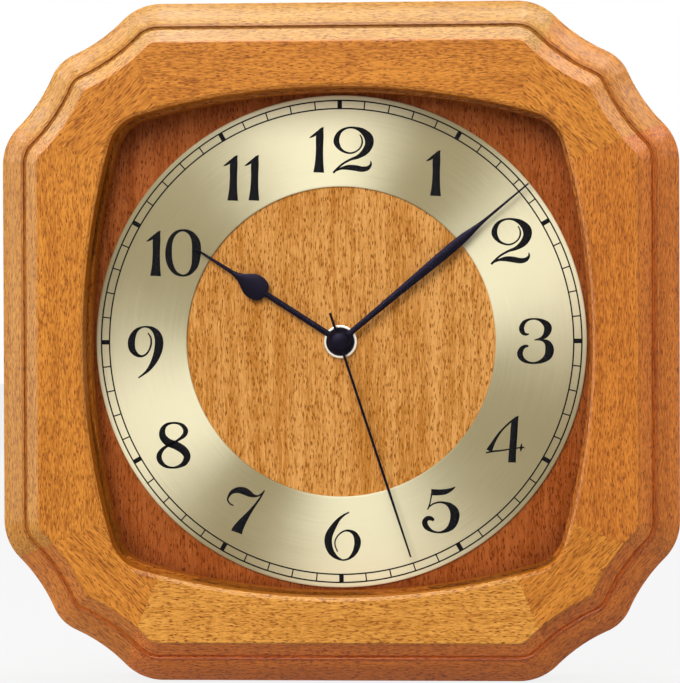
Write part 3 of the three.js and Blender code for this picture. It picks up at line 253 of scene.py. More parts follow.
class Shader:
    """The node tree of a material or a world."""

    def __init__(self, owner: Union[Material, bpy.types.World]) -> None:
        """Starts with an empty tree.

        Args:
            owner: the material or world.
        """
        owner.use_nodes = True
        self.owner = owner
        self.tree = owner.node_tree
        self.tree.nodes.clear()

    @classmethod
    def new(cls, name: str) -> Shader:
        """The tree of a new material."""
        return cls(bpy.data.materials.new(name))

    def add(
        self, kind: str, settings: Optional[Mapping[str, object]] = None, sockets: Optional[Mapping] = None
    ) -> bpy.types.Node:
        """Adds a node.

        Args:
            kind: the node's type.
            settings: its properties, set first.
            sockets: values or links of its inputs, by name or number; a tuple is a colour.

        Returns:
            The node.
        """
        node = self.tree.nodes.new(kind)
        for key, setting in (settings or {}).items():
            setattr(node, key, setting)
        for key, feed in (sockets or {}).items():
            source = feed.socket if isinstance(feed, Value) else feed
            if isinstance(source, Socket):
                self.tree.links.new(source, node.inputs[key])
            else:
                node.inputs[key].default_value = (*source, 1.0) if isinstance(source, tuple) else source
        return node

    def millimetres(self, turn: float = 0.0, layer: float = 0.0) -> Socket:
        """Object coordinates in millimetres from the point where the axis of the hands meets the wall.

        Args:
            turn: angle about that axis by which the pattern is turned clockwise.
            layer: distance in metres by which it is moved back.

        Returns:
            The vector.
        """
        mapping = self.add("ShaderNodeMapping", {"vector_type": "TEXTURE"}, {
            "Vector": self.add("ShaderNodeTexCoord").outputs["Object"],
            "Location": [0.0, layer, AXIS_HEIGHT],
            "Rotation": [0.0, turn, 0.0],
            "Scale": [MM, MM, MM],
        })
        return mapping.outputs[0]

    def vector(self, operation: str, first: Feed, second: Feed) -> Socket:
        """Adds a Vector Math node and gives its vector."""
        return self.add("ShaderNodeVectorMath", {"operation": operation}, {0: first, 1: second}).outputs[0]

    def stretched(self, vector: Feed, cell: Cell) -> Socket:
        """A vector measured in cells of a size."""
        return self.vector("MULTIPLY", vector, [1 / size for size in cell])

    def parts(self, vector: Feed) -> list[Value]:
        """The three numbers of a vector."""
        node = self.add("ShaderNodeSeparateXYZ", sockets={0: vector})
        return [Value(self, part) for part in node.outputs]

    def whole(self, x: Number = 0.0, y: Number = 0.0, z: Number = 0.0) -> Socket:
        """A vector of three numbers."""
        return self.add("ShaderNodeCombineXYZ", sockets={0: x, 1: y, 2: z}).outputs[0]

    def noise(self, vector: Feed, cell: Cell, detail: float = 2.0, roughness: float = 0.5) -> Value:
        """Soft noise.

        Args:
            vector: coordinates.
            cell: size of the noise along each of them.
            detail: number of finer layers.
            roughness: weight of each finer layer.

        Returns:
            A value from 0 to 1.
        """
        grain = {"Scale": 1.0, "Detail": detail, "Roughness": roughness}
        node = self.add("ShaderNodeTexNoise", sockets={"Vector": self.stretched(vector, cell), **grain})
        return Value(self, node.outputs[0])

    def cells(self, vector: Feed, cell: Cell) -> tuple[Value, Value]:
        """Scattered cells.

        Args:
            vector: coordinates.
            cell: size of a cell along each of them.

        Returns:
            Distance from the nearest cell's middle, and a random number of that cell.
        """
        scatter = {"Vector": self.stretched(vector, cell), "Scale": 1.0, "Randomness": 1.0}
        node = self.add("ShaderNodeTexVoronoi", sockets=scatter)
        tint = self.add("ShaderNodeSeparateColor", sockets={0: node.outputs["Color"]})
        return Value(self, node.outputs["Distance"]), Value(self, tint.outputs[0])

    def blend(self, share: Number, first: Feed, second: Feed, how: str = "MIX") -> Socket:
        """Colour between two others, by a share that is 0 for the first and 1 for the second."""
        settings = {"data_type": "RGBA", "blend_type": how}
        return self.add("ShaderNodeMix", settings, {0: share, 6: first, 7: second}).outputs[2]

    def tinted(self, colour: Feed, share: Number, tint: Colour) -> Socket:
        """A colour multiplied by another as far as a share says."""
        return self.blend(share, colour, tint, "MULTIPLY")

    def bump(self, height: Value, depth: float, strength: float = 0.5) -> Socket:
        """Normal of a surface that a height in 0 to 1 raises by a depth in metres."""
        sockets = {"Strength": strength, "Distance": depth, "Height": height}
        return self.add("ShaderNodeBump", sockets=sockets).outputs[0]

    def seen_directly(self) -> Value:
        """How directly a ray comes to the camera.

        Returns:
            1 for rays from the camera, off a mirror or through glass, and 0 for light on matt surfaces.
        """
        path = self.add("ShaderNodeLightPath")
        rays = ("Is Camera Ray", "Is Glossy Ray", "Is Transmission Ray")
        camera, glossy, through = (Value(self, path.outputs[ray]) for ray in rays)
        return camera.most(glossy).most(through)

    def mixed(self, share: Value, first: bpy.types.Node, second: bpy.types.Node) -> Material:
        """Ends the tree in a mix of two shaders, whose share is 0 for the first and 1 for the second."""
        shaders = {0: share, 1: first.outputs[0], 2: second.outputs[0]}
        return self.output(self.add("ShaderNodeMixShader", sockets=shaders))

    def output(self, shader: bpy.types.Node) -> Material:
        """Links a shader to the material's output."""
        self.add("ShaderNodeOutputMaterial", sockets={"Surface": shader.outputs[0]})
        return self.owner


# Finishes
@dataclass(frozen=True)
class Finish:
    """A look made of shader nodes. Its lengths are millimetres, apart from the relief's.

    The pair of a noise is its detail and roughness; a pair of edges or chances is the ends of a ramp.
    """

    def material(self, name: str) -> Material:
        """Builds the material.

        Args:
            name: name of the material.

        Returns:
            One Principled shader with the finish's sockets.
        """
        shader = Shader.new(name)
        sockets = self.sockets(shader, shader.millimetres())
        return shader.output(shader.add("ShaderNodeBsdfPrincipled", sockets=sockets))

    def sockets(self, shader: Shader, local: Socket) -> dict[str, Feed]:
        """The values and links that make the look, by the names of the shader's sockets."""
        raise NotImplementedError


@dataclass(frozen=True)
class WoodFinish(Finish):
    """Satin-lacquered wood: growth bands, fine fibres and two sizes of short dark flecks along the grain.

    A cell's sizes run along the grain, from front to back and across the grain; the layer, in metres, picks
    the wood. The moulding takes a tint of painted light and shade; the groove in it and the wall of the
    frame's opening each take their own painted shade.
    """

    pale: Colour = (0.74, 0.280, 0.031)
    deep: Colour = (0.41, 0.116, 0.003)
    fleck: Colour = (0.22, 0.05, 0.001)
    turn: float = 0.0
    layer: float = 0.0
    sway_cell: Cell = (70.0, 40.0, 26.0)
    sway_back: float = 3.0
    sway_side: float = 5.0
    ripple_cell: Cell = (9.0, 5.0, 5.0)
    ripple_side: float = 1.6
    fleck_cell: Cell = (3.4, 0.78, 0.78)
    fleck_edges: Pair = (0.33, 0.19)
    fleck_share: float = 0.95
    fleck_chance: Pair = (0.05, 0.35)
    small_size: float = 0.55
    small_share: float = 0.5
    small_chance: Pair = (0.3, 0.7)
    dash_cell: Cell = (3.4, 0.56, 0.56)
    dash_edges: Pair = (0.43, 0.31)
    dash_share: float = 0.5
    row_share: float = 0.6
    band: Cell = (120.0, 11.0, 8.0)
    band_noise: Pair = (3.0, 0.55)
    band_share: float = 0.8
    streak_cell: Cell = (26.0, 1.7, 1.3)
    streak_share: float = 0.5
    fibre_noise: Pair = (1.5, 0.6)
    fibre_share: float = 1.7
    fibre_rise: float = 0.6
    fleck_sink: float = 0.5
    roughness: float = 0.29
    dullness: float = 0.10
    relief: float = 0.05 * MM
    specular: float = 0.0
    coat: float = 0.52
    coat_roughness: float = 0.2
    # Painted light and shade: tint of the moulding, paler on the top and left staves, darker on the right
    # and bottom.
    stain: Colour = (1.0, 1.0, 1.0)
    moulding_front: float = 48.5
    moulding_fade: Pair = (-4.0, -31.0)
    # Painted shade: tint that darkens the wall of the frame's opening and what stands in the recess.
    recess: Colour = (0.85, 0.72, 0.58)
    recess_half: float = 121.0
    recess_soft: float = 2.0
    recess_front: float = 48.4
    front_soft: float = 0.4
    # Painted shade: tint that darkens the groove in the moulding.
    glaze: Colour = (0.74, 0.60, 0.46)
    groove_shade_depth: float = 42.8
    groove_shade_reach: float = 0.9

    def grain(self, shader: Shader) -> tuple[Socket, Value, Value]:
        """The wood's colour, its flecks and its fibres.

        Args:
            shader: the material that takes the nodes.

        Returns:
            The colour, the mask of the flecks and the fine relief.
        """
        along = shader.millimetres(self.turn, self.layer)
        sway = shader.noise(along, self.sway_cell, detail=1.0) - 0.5
        ripple = shader.noise(along, self.ripple_cell, detail=1.0) - 0.5
        aside = shader.whole(0.0, sway * self.sway_back, sway * self.sway_side + ripple * self.ripple_side)
        bent = shader.vector("ADD", along, aside)
        bands = shader.noise(bent, self.band, *self.band_noise)
        streaks = shader.noise(bent, self.streak_cell)
        fibres = shader.noise(bent, self.dash_cell, *self.fibre_noise)
        row = (0.5 - streaks) * self.row_share
        near, chance = shader.cells(bent, self.fleck_cell)
        large = near.ramp(*self.fleck_edges) * (chance + row).ramp(*self.fleck_chance)
        near, chance = shader.cells(bent, tuple(size * self.small_size for size in self.fleck_cell))
        small = near.ramp(*self.fleck_edges) * (chance + row).ramp(*self.small_chance)
        dash = fibres.ramp(*self.dash_edges)
        fleck = (large + small * self.small_share + dash * self.dash_share).least(1.0)
        tone = (bands - 0.5) * self.band_share + (streaks - 0.5) * self.streak_share
        tone = tone + (fibres - 0.5) * self.fibre_share + 0.5
        wood = shader.blend(tone.ramp(0.0, 1.0), self.deep, self.pale)
        return shader.blend(fleck * self.fleck_share, wood, self.fleck), fleck, fibres

    def washed(self, shader: Shader, local: Socket, colour: Socket) -> Socket:
        """The grain's colour times the painted light and shade, each within its own part of the frame.

        Args:
            shader: the material that takes the nodes.
            local: the vector in millimetres.
            colour: the grain's colour.

        Returns:
            The colour with its painted light and shade.
        """
        across, behind, up = shader.parts(local)
        around = squareness(across, up)
        inside, outside = self.recess_half - self.recess_soft, self.recess_half + self.recess_soft
        # Painted light and shade on the moulding, fading out towards the back and stopping short of the flat
        # face.
        moulding = around.ramp(inside, outside) * behind.ramp(*self.moulding_fade)
        moulding = moulding * behind.ramp(-self.front_soft - self.moulding_front, -self.moulding_front)
        # Painted shade in a band about the groove's depth.
        level = (behind + self.groove_shade_depth).size()
        groove = moulding * level.ramp(self.groove_shade_reach, self.groove_shade_reach / 2)
        # Painted shade on the wall inside the opening, behind its front edge.
        wall = around.ramp(outside, inside)
        wall = wall * behind.ramp(-self.front_soft - self.recess_front, -self.recess_front)
        for mask, tint in ((moulding, self.stain), (groove, self.glaze), (wall, self.recess)):
            colour = shader.tinted(colour, mask, tint)
        return colour

    def sockets(self, shader: Shader, local: Socket) -> dict[str, Feed]:
        """Wood with painted light and shade under a thin lacquer that dips into the flecks.

        Args:
            shader: the node tree.
            local: the vector in millimetres.

        Returns:
            The shader's sockets by name.
        """
        colour, fleck, fibres = self.grain(shader)
        height = fibres * self.fibre_rise - fleck * self.fleck_sink + 0.5
        return {
            "Base Color": self.washed(shader, local, colour),
            "Roughness": (fibres + fleck) * self.dullness + self.roughness,
            "Normal": shader.bump(height, self.relief),
            "Specular IOR Level": self.specular,
            "Coat Weight": self.coat,
            "Coat Roughness": self.coat_roughness,
        }


@dataclass(frozen=True)
class VeneerFinish(WoodFinish):
    """The dial board's veneer: upright grain with painted shade, redder outside the chapter ring, over
    fibreboard.
    """

    pale: Colour = (0.82, 0.395, 0.108)
    deep: Colour = (0.54, 0.200, 0.026)
    fleck: Colour = (0.27, 0.080, 0.004)
    turn: float = RIGHT_ANGLE
    layer: float = 0.35
    fleck_cell: Cell = (3.3, 0.92, 0.92)
    fleck_edges: Pair = (0.38, 0.22)
    fleck_share: float = 0.9
    dash_cell: Cell = (5.0, 0.6, 0.6)
    dash_edges: Pair = (0.40, 0.30)
    dash_share: float = 0.45
    row_share: float = 2.6
    band: Cell = (160.0, 9.0, 8.0)
    band_share: float = 1.4
    streak_share: float = 1.1
    specular: float = 0.06
    coat: float = 0.0
    # Painted shade: tint of the board outside the chapter ring, where the frame's recess shades it.
    red: Colour = (0.55, 0.32, 0.235)
    ring_inside: float = 69.0
    ring_outside: float = 109.0
    veneer_rear: float = 24.8
    veneer_soft: float = 0.1
    shade: Colour = (0.64, 0.60, 0.60)
    shade_reach: Pair = (102.0, 112.0)
    core: Colour = (0.30, 0.165, 0.075)
    core_fibre: Colour = (0.19, 0.095, 0.040)
    core_cell: Cell = (1.6, 0.4, 1.1)
    core_noise: Pair = (4.0, 0.7)
    core_edges: Pair = (0.35, 0.65)

    def washed(self, shader: Shader, local: Socket, colour: Socket) -> Socket:
        """In front the grain times a red painted shade outside the ring and a painted shade at its edge,
        behind it a core.

        Args:
            shader: the material that takes the nodes.
            local: the vector in millimetres.
            colour: the grain's colour.

        Returns:
            The board's colour.
        """
        across, behind, up = shader.parts(local)
        outside = (across**2 + up**2).ramp(self.ring_inside**2, self.ring_outside**2)
        # Painted shade outside the ring, then painted shade at the opening's edge.
        colour = shader.tinted(colour, outside, self.red)
        colour = shader.tinted(colour, squareness(across, up).ramp(*self.shade_reach), self.shade)
        hairs = shader.noise(local, self.core_cell, *self.core_noise)
        core = shader.blend(hairs.ramp(*self.core_edges), self.core_fibre, self.core)
        front = behind.ramp(self.veneer_soft - self.veneer_rear, -self.veneer_rear)
        return shader.blend(front, core, colour)


@dataclass(frozen=True)
class SpunMetalFinish(Finish):
    """Circularly brushed ring: fine concentric lines, and a painted sheen of a spun surface under soft
    light.

    The painted sheen's tone at angle a follows level - lobe cos(4 u + skew sin 2 u), where u is a less
    the lobe's angle.
    """

    # Colours of the painted sheen's bright and dark lobes, between which the brushed lines and clouds also
    # vary.
    bright: Colour = (0.83, 0.775, 0.525)
    dark: Colour = (0.285, 0.235, 0.112)
    level: float = 0.5
    lobe: float = 0.47
    lobe_angle: float = 30 * DEGREE
    lobe_skew: float = 0.66
    line_cell: Cell = (0.35, 0.4, 1.0)
    line_noise: Pair = (3.0, 0.7)
    line_share: float = 0.30
    cloud_cell: Cell = (24.0, 24.0, 24.0)
    cloud_share: float = 0.14
    tones: Pair = (-0.12, 1.12)
    metallic: float = 0.3
    roughness: float = 0.55
    dullness: float = 0.12
    relief: float = 0.02 * MM
    relief_share: float = 0.35

    def sockets(self, shader: Shader, local: Socket) -> dict[str, Feed]:
        """The brushed metal with its painted sheen; its lines are noise over the radius and the angle.

        Args:
            shader: the node tree.
            local: the vector in millimetres.

        Returns:
            The shader's sockets by name.
        """
        across, _, up = shader.parts(local)
        angle = across.math("ARCTAN2", across, up)
        # Painted sheen: lobes of light and dark round the ring in place of the spun surface's reflection.
        turn = angle - self.lobe_angle
        skew = (turn * 2.0 - RIGHT_ANGLE).cosine() * self.lobe_skew
        painted_sheen = self.level - (turn * 4.0 + skew).cosine() * self.lobe
        radius = (across**2 + up**2).root()
        polar = shader.whole(radius, angle)
        lines = shader.noise(polar, self.line_cell, *self.line_noise)
        cloud = shader.noise(local, self.cloud_cell)
        tone = painted_sheen + (lines - 0.5) * self.line_share + (cloud - 0.5) * self.cloud_share
        return {
            "Base Color": shader.blend(tone.ramp(*self.tones), self.dark, self.bright),
            "Metallic": self.metallic,
            "Roughness": lines * self.dullness + self.roughness,
            "Normal": shader.bump(lines, self.relief, self.relief_share),
        }


@dataclass(frozen=True)
class GrainedFinish(Finish):
    """Two colours mixed by a fine grain and soft clouds, which also change the gloss.

    The shares are those of the grain and of the clouds.
    """

    base: Colour
    other: Colour
    roughness: float
    metallic: float = 0.0
    cell: Cell = (0.45, 0.45, 0.45)
    grain: Pair = (2.0, 0.6)
    cloud_cell: Cell = (11.0, 11.0, 11.0)
    cloud: Pair = (4.0, 0.6)
    mix_shares: Pair = (0.3, 0.8)
    mix_edges: Pair = (0.35, 0.85)
    dull_shares: Pair = (0.12, -0.10)
    specular: float = 0.4
    relief: float = 0.03 * MM
    relief_share: float = 0.4

    def sockets(self, shader: Shader, local: Socket) -> dict[str, Feed]:
        """Colour, gloss and relief as weighted sums of the grain and the clouds.

        Args:
            shader: the node tree.
            local: the vector in millimetres.

        Returns:
            The shader's sockets by name.
        """
        grain = shader.noise(local, self.cell, *self.grain)
        cloud = shader.noise(local, self.cloud_cell, *self.cloud)
        tone, dull = (
            grain * fine + cloud * coarse for fine, coarse in (self.mix_shares, self.dull_shares)
        )
        return {
            "Base Color": shader.blend(tone.ramp(*self.mix_edges), self.base, self.other),
            "Metallic": self.metallic,
            "Roughness": dull + self.roughness,
            "Normal": shader.bump(grain, self.relief, self.relief_share),
            "Specular IOR Level": self.specular,
        }


@dataclass(frozen=True)
class PlasticFinish(GrainedFinish):
    """Moulded plastic or rubber with a fine spark-eroded texture and a little rubbed gloss."""


@dataclass(frozen=True)
class MetalFinish(GrainedFinish):
    """Plain metal with rolling lines along the first axis, faint clouding and handling wear."""

    metallic: float = 1.0
    cell: Cell = (9.0, 0.35, 0.35)
    grain: Pair = (3.0, 0.6)
    cloud_cell: Cell = (6.0, 6.0, 6.0)
    cloud: Pair = (3.0, 0.5)
    mix_shares: Pair = (0.6, 0.6)
    mix_edges: Pair = (0.95, 0.25)
    dull_shares: Pair = (0.14, 0.08)
    specular: float = 0.5
    relief: float = 0.01 * MM
    relief_share: float = 0.3


@dataclass(frozen=True)
class InkFinish(GrainedFinish):
    """Printed black: dense, with a faint mottle of the print and no relief."""

    base: Colour = (0.003, 0.003, 0.004)
    other: Colour = (0.008, 0.007, 0.009)
    roughness: float = 0.42
    cell: Cell = (0.8, 0.8, 0.8)
    grain: Pair = (3.0, 0.6)
    mix_shares: Pair = (1.0, 0.0)
    mix_edges: Pair = (0.35, 0.75)
    dull_shares: Pair = (0.2, 0.0)
    specular: float = 0.06
    relief_share: float = 0.0


class CoilAxis(Enum):
    """The axis that a winding is wound about."""

    ACROSS = 0
    UP = 2


@dataclass(frozen=True)
class WindingFinish(Finish):
    """Enamelled copper wire in close turns, with painted shade in the crevices between them."""

    copper: Colour = (0.62, 0.20, 0.055)
    # Painted shade in the crevices between turns.
    gap: Colour = (0.10, 0.022, 0.008)
    pitch: float = 0.32
    axis: CoilAxis = CoilAxis.ACROSS
    drift_cell: Cell = (3.0, 3.0, 3.0)
    drift: float = 0.5
    copper_edges: Pair = (0.0, 0.5)
    metallic: float = 0.8
    roughness: float = 0.42
    polish: float = 0.1
    relief: float = 0.08 * MM
    relief_share: float = 0.7

    def sockets(self, shader: Shader, local: Socket) -> dict[str, Feed]:
        """Each turn is one cosine wave along the winding's axis, with painted shade at its trough.

        Args:
            shader: the node tree.
            local: the vector in millimetres.

        Returns:
            The shader's sockets by name.
        """
        drift = shader.noise(local, self.drift_cell) * self.drift
        along = shader.parts(local)[self.axis.value] * (1 / self.pitch) + drift
        turns = (along * FULL_TURN).cosine() * 0.5 + 0.5
        return {
            "Base Color": shader.blend(turns.ramp(*self.copper_edges), self.gap, self.copper),
            "Metallic": self.metallic,
            "Roughness": turns * -self.polish + self.roughness,
            "Normal": shader.bump(turns, self.relief, self.relief_share),
        }


@dataclass(frozen=True)
class CircuitFinish(Finish):
    """Green solder mask over narrow copper tracks."""

    mask: Colour = (0.010, 0.085, 0.030)
    track: Colour = (0.030, 0.180, 0.065)
    pad: Colour = (0.55, 0.52, 0.47)
    lanes_each: float = 0.62
    rows_each: float = 0.55
    track_edges: Pair = (0.20, 0.16)
    patch_cell: Cell = (4.0, 4.0, 4.0)
    patch_edges: Pair = (0.49, 0.51)
    pad_cell: Cell = (2.6, 2.6, 2.6)
    pad_edges: Pair = (0.26, 0.22)
    pad_chance: Pair = (0.5, 0.52)
    pad_metal: float = 0.9
    roughness: float = 0.42
    polish: float = 0.1
    relief: float = 0.04 * MM

    def sockets(self, shader: Shader, local: Socket) -> dict[str, Feed]:
        """Patches of upright and of level tracks, and round pads at scattered cells.

        Args:
            shader: the node tree.
            local: the vector in millimetres.

        Returns:
            The shader's sockets by name.
        """
        across, _, up = shader.parts(local)
        lanes = ((across * self.lanes_each).remainder() - 0.5).size().ramp(*self.track_edges)
        rows = ((up * self.rows_each).remainder() - 0.5).size().ramp(*self.track_edges)
        turn = shader.noise(local, self.patch_cell, detail=0.0).ramp(*self.patch_edges)
        track = lanes * turn + rows * (1 - turn)
        near, chance = shader.cells(local, self.pad_cell)
        pad = near.ramp(*self.pad_edges) * chance.ramp(*self.pad_chance)
        return {
            "Base Color": shader.blend(pad, shader.blend(track, self.mask, self.track), self.pad),
            "Metallic": pad * self.pad_metal,
            "Roughness": pad * -self.polish + self.roughness,
            "Normal": shader.bump(track + pad, self.relief),
        }


@dataclass(frozen=True)
class GlassFinish(Finish):
    """Thin clear pane: it shows what is behind it and takes a faint gloss that grows towards its edges."""

    tint: Colour = (0.02, 0.024, 0.022)
    smear_cell: Cell = (60.0, 60.0, 14.0)
    smear_share: float = 0.05
    roughness: float = 0.01
    refraction: float = 1.5
    ahead: float = 0.014
    glancing: float = 0.8
    slant_power: int = 5

    def sockets(self, shader: Shader, local: Socket) -> dict[str, Feed]:
        """The smeared gloss of the pane.

        Args:
            shader: the node tree.
            local: the vector in millimetres.

        Returns:
            The shader's sockets by name.
        """
        smear = shader.noise(local, self.smear_cell, detail=3.0)
        roughness = smear * self.smear_share + self.roughness
        return {"Base Color": self.tint, "Roughness": roughness, "IOR": self.refraction}

    def material(self, name: str) -> Material:
        """Builds the material: clear, with a gloss whose share grows with a power of the slant.

        Args:
            name: name of the material.

        Returns:
            The pane's material.
        """
        shader = Shader.new(name)
        clear = shader.add("ShaderNodeBsdfTransparent")
        sockets = self.sockets(shader, shader.millimetres())
        gloss = shader.add("ShaderNodeBsdfPrincipled", sockets=sockets)
        slant = Value(shader, shader.add("ShaderNodeLayerWeight", sockets={"Blend": 0.5}).outputs["Facing"])
        return shader.mixed(slant**self.slant_power * self.glancing + self.ahead, clear, gloss)


@dataclass(frozen=True)
class JacketFinish(Finish):
    """A cell's printed jacket: dark sleeve, gold band at the positive end, bare metal at both ends."""

    start: float
    end: float
    sleeve: Colour = (0.012, 0.020, 0.045)
    gold: Colour = (0.62, 0.33, 0.075)
    line: Colour = (0.62, 0.62, 0.60)
    bare: Colour = (0.66, 0.66, 0.64)
    worn: Colour = (0.495, 0.495, 0.48)
    gold_share: float = 0.30
    line_width: float = 0.9
    line_soft: float = 0.05
    rim: float = 0.35
    rim_soft: float = 0.1
    scuff_cell: Cell = (5.0, 1.2, 1.2)
    scuff_noise: Pair = (4.0, 0.65)
    gold_metal: float = 0.7
    roughness: float = 0.2
    dullness: float = 0.16
    relief: float = 0.01 * MM
    relief_share: float = 0.3

    def sockets(self, shader: Shader, local: Socket) -> dict[str, Feed]:
        """Bands that follow the distance along the cell, with faint scuffs.

        Args:
            shader: the node tree.
            local: the vector in millimetres.

        Returns:
            The shader's sockets by name.
        """
        across = shader.parts(local)[0]
        scuffs = shader.noise(local, self.scuff_cell, *self.scuff_noise)
        soft, half = self.line_soft, self.line_width / 2
        border = self.end - (self.end - self.start) * self.gold_share
        gold = across.ramp(border - soft, border + soft)
        line = (across - border).size().ramp(half + soft, half - soft)
        first, last = self.start + self.rim, self.end - self.rim
        bare = across.ramp(first + self.rim_soft, first).most(across.ramp(last - self.rim_soft, last))
        sleeve = shader.blend(line, shader.blend(gold, self.sleeve, self.gold), self.line)
        return {
            "Base Color": shader.blend(bare, sleeve, shader.blend(scuffs, self.bare, self.worn)),
            "Metallic": bare.most(gold * self.gold_metal),
            "Roughness": scuffs * self.dullness + self.roughness,
            "Normal": shader.bump(scuffs, self.relief, self.relief_share),
        }


# Meshes
class Surface:
    """A mesh gathered from closed grids of points."""

    def __init__(self) -> None:
        """Starts with no faces."""
        self._points: list[Array] = []
        self._faces: list[list[int]] = []
        self._count = 0

    def add(self, grid: Array, ring: bool = False) -> Surface:
        """Adds a grid whose last column meets its first, turned outwards by the sign of the volume in it.

        Args:
            grid: points in rows and columns.
            ring: the last row meets the first; otherwise a flat face closes each of the two.

        Returns:
            The surface itself.
        """
        rows, columns = grid.shape[:2]
        index = np.arange(rows * columns).reshape(rows, columns)
        looped = np.concatenate([index, index[:, :1]], axis=1)
        looped = np.concatenate([looped, looped[:1]], axis=0) if ring else looped
        corners = [looped[:-1, :-1], looped[1:, :-1], looped[1:, 1:], looped[:-1, 1:]]
        quads = np.stack(corners, axis=-1).reshape(-1, 4)
        caps = [] if ring else [index[0], index[-1, ::-1]]
        points = grid.reshape(-1, 3)
        fans = [quads[:, [0, 1, 2]], quads[:, [0, 2, 3]]]
        fans += [np.stack([np.full(columns - 2, cap[0]), cap[1:-1], cap[2:]], axis=1) for cap in caps]
        first, second, third = np.moveaxis((points - points.mean(axis=0))[np.concatenate(fans)], 1, 0)
        outward = 1 if np.einsum("ij,ij->", first, np.cross(second, third)) > 0 else -1
        self._faces += (quads[:, ::outward] + self._count).tolist()
        self._faces += [(cap[::outward] + self._count).tolist() for cap in caps]
        self._points.append(points)
        self._count += len(points)
        return self

    def object(self, name: str) -> Piece:
        """Puts the faces into a new object at the origin.

        Args:
            name: name of the object and its mesh.

        Returns:
            The object, smooth apart from its sharp edges.
        """
        mesh = bpy.data.meshes.new(name)
        mesh.from_pydata(np.concatenate(self._points).tolist(), [], self._faces)
        smooth(mesh)
        piece = bpy.data.objects.new(name, mesh)
        bpy.context.scene.collection.objects.link(piece)
        return piece


def smooth(mesh: bpy.types.Mesh) -> None:
    """Shades a mesh smooth apart from its sharp edges."""
    mesh.shade_smooth()
    mesh.set_sharp_from_angle(angle=SHARP_EDGE)


def publish(piece: Piece, material: Material, body: str, replaced: Sequence[str] = ()) -> None:
    """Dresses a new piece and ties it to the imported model.

    Args:
        piece: the object.
        material: its finish.
        body: CAD body that it moves with.
        replaced: CAD nodes that it stands for.
    """
    piece.data.materials.clear()
    piece.data.materials.append(material)
    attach(piece, body)
    if replaced:
        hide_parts(*replaced)
    log.info("piece %s: %d faces on %s", piece.name, len(piece.data.polygons), body)


def cut_by(piece: Piece, *cutters: Piece) -> None:
    """Takes closed forms out of a piece with exact Boolean modifiers, which are applied.

    Args:
        piece: the object to cut.
        *cutters: the forms, which are removed afterwards.
    """
    for cutter in cutters:
        modifier = piece.modifiers.new(cutter.name, "BOOLEAN")
        modifier.operation = "DIFFERENCE"
        modifier.solver = "EXACT"
        modifier.object = cutter
    evaluated = piece.evaluated_get(bpy.context.evaluated_depsgraph_get())
    whole, name = piece.data, piece.data.name
    piece.data = bpy.data.meshes.new_from_object(evaluated)
    piece.modifiers.clear()
    bpy.data.meshes.remove(whole)
    piece.data.name = name
    smooth(piece.data)
    for cutter in cutters:
        bpy.data.meshes.remove(cutter.data)


def turned(profile: Sequence[Pair], centre: Pair = (0.0, 0.0), steps: int = 48) -> Array:
    """Points of a turned form, whose profile is carried round an axis parallel to the dial's.

    The profile's point (r, w) at angle a lies at (centre + r sin a, centre + r cos a, w).

    Args:
        profile: radii and depths.
        centre: place of the axis.
        steps: points round the axis.

    Returns:
        A row of points per profile point.
    """
    radius, depth = np.asarray(profile, dtype=float).T[:, :, None]
    angle = np.linspace(0, FULL_TURN, steps, endpoint=False)
    return place(radius[..., None] * circle(angle) + centre, depth)


def washer(inner: float, outer: float, edge: Sequence[Pair]) -> Array:
    """Profile of a flat ring: an edge of insets and depths at the outer radius, and back at the inner."""
    inset, depth = np.asarray(edge, dtype=float).T
    return np.concatenate([paired(outer - inset, depth), paired(inner + inset, depth)[::-1]])


def rounded_box(reach: Reach, radius: float, steps: int, inset: float = 0.0) -> Array:
    """Outline of a box with round corners.

    Each corner is a quarter circle about the point that lies its radius inside both sides; a set-in outline
    keeps these centres until its radius is down to a hair.

    Args:
        reach: the box.
        radius: radius of its corners.
        steps: steps in a quarter circle.
        inset: how far the outline is set in.

    Returns:
        (across, up) points, anticlockwise.
    """
    rounding = max(radius - inset, HAIR)
    middle = np.array(reach.middle)
    corner = np.array([reach.right, reach.high]) - middle - inset - rounding
    arc = rounding * circle(quarter(steps))[:, ::-1] + corner
    signs = [(1, 1), (-1, 1), (-1, -1), (1, -1)]
    return np.concatenate([arc[:: sx * sy] * (sx, sy) + middle for sx, sy in signs])


def eased_edge(reach: Reach, ease: float) -> list[Pair]:
    """Profile of a plate's side from its front face to its rear one, whose edge is rounded."""
    soft = ease * ROUNDING
    return [(0.0, reach.front), (0.0, reach.rear + ease), (soft, reach.rear + soft), (ease, reach.rear)]


def slab(outline: Callable[[float], Array], profile: Sequence[Pair]) -> Array:
    """Points of a flat piece with shaped edges: its outline at each inset and depth of the profile."""
    return np.stack([place(outline(inset), depth) for inset, depth in profile])


def prism(outline: Array, rear: float, front: float, taper: float = 1.0) -> Surface:
    """A closed straight-sided form.

    Args:
        outline: (across, up) points round it.
        rear: depth of its rear end.
        front: depth of its front end.
        taper: size of the front end as a share of the rear one, about the outline's middle.

    Returns:
        Its surface.
    """
    middle = (outline.min(axis=0) + outline.max(axis=0)) / 2
    ends = [place(outline, rear), place((outline - middle) * taper + middle, front)]
    return Surface().add(np.stack(ends))


def bowed(start: Pair, width: float, rise: float, swell: float, steps: int) -> Array:
    """A slope bent by a share of a quarter ellipse, as rows of (inset, depth).

    Args:
        start: first inset and depth.
        width: how far it goes in.
        rise: how far it rises.
        swell: share of the ellipse, which rises first if positive and goes in first if negative.
        steps: steps of the ellipse.

    Returns:
        The rows: (1 - share) of the straight slope plus the share of the ellipse.
    """
    turn = quarter(steps)
    even = np.linspace(0, 1, len(turn))
    early, late = np.sin(turn), 1 - np.cos(turn)
    ellipse = paired(late, early) if swell > 0 else paired(early, late)
    share = abs(swell)
    return (paired(even, even) * (1 - share) + ellipse * share) * (width, rise) + start


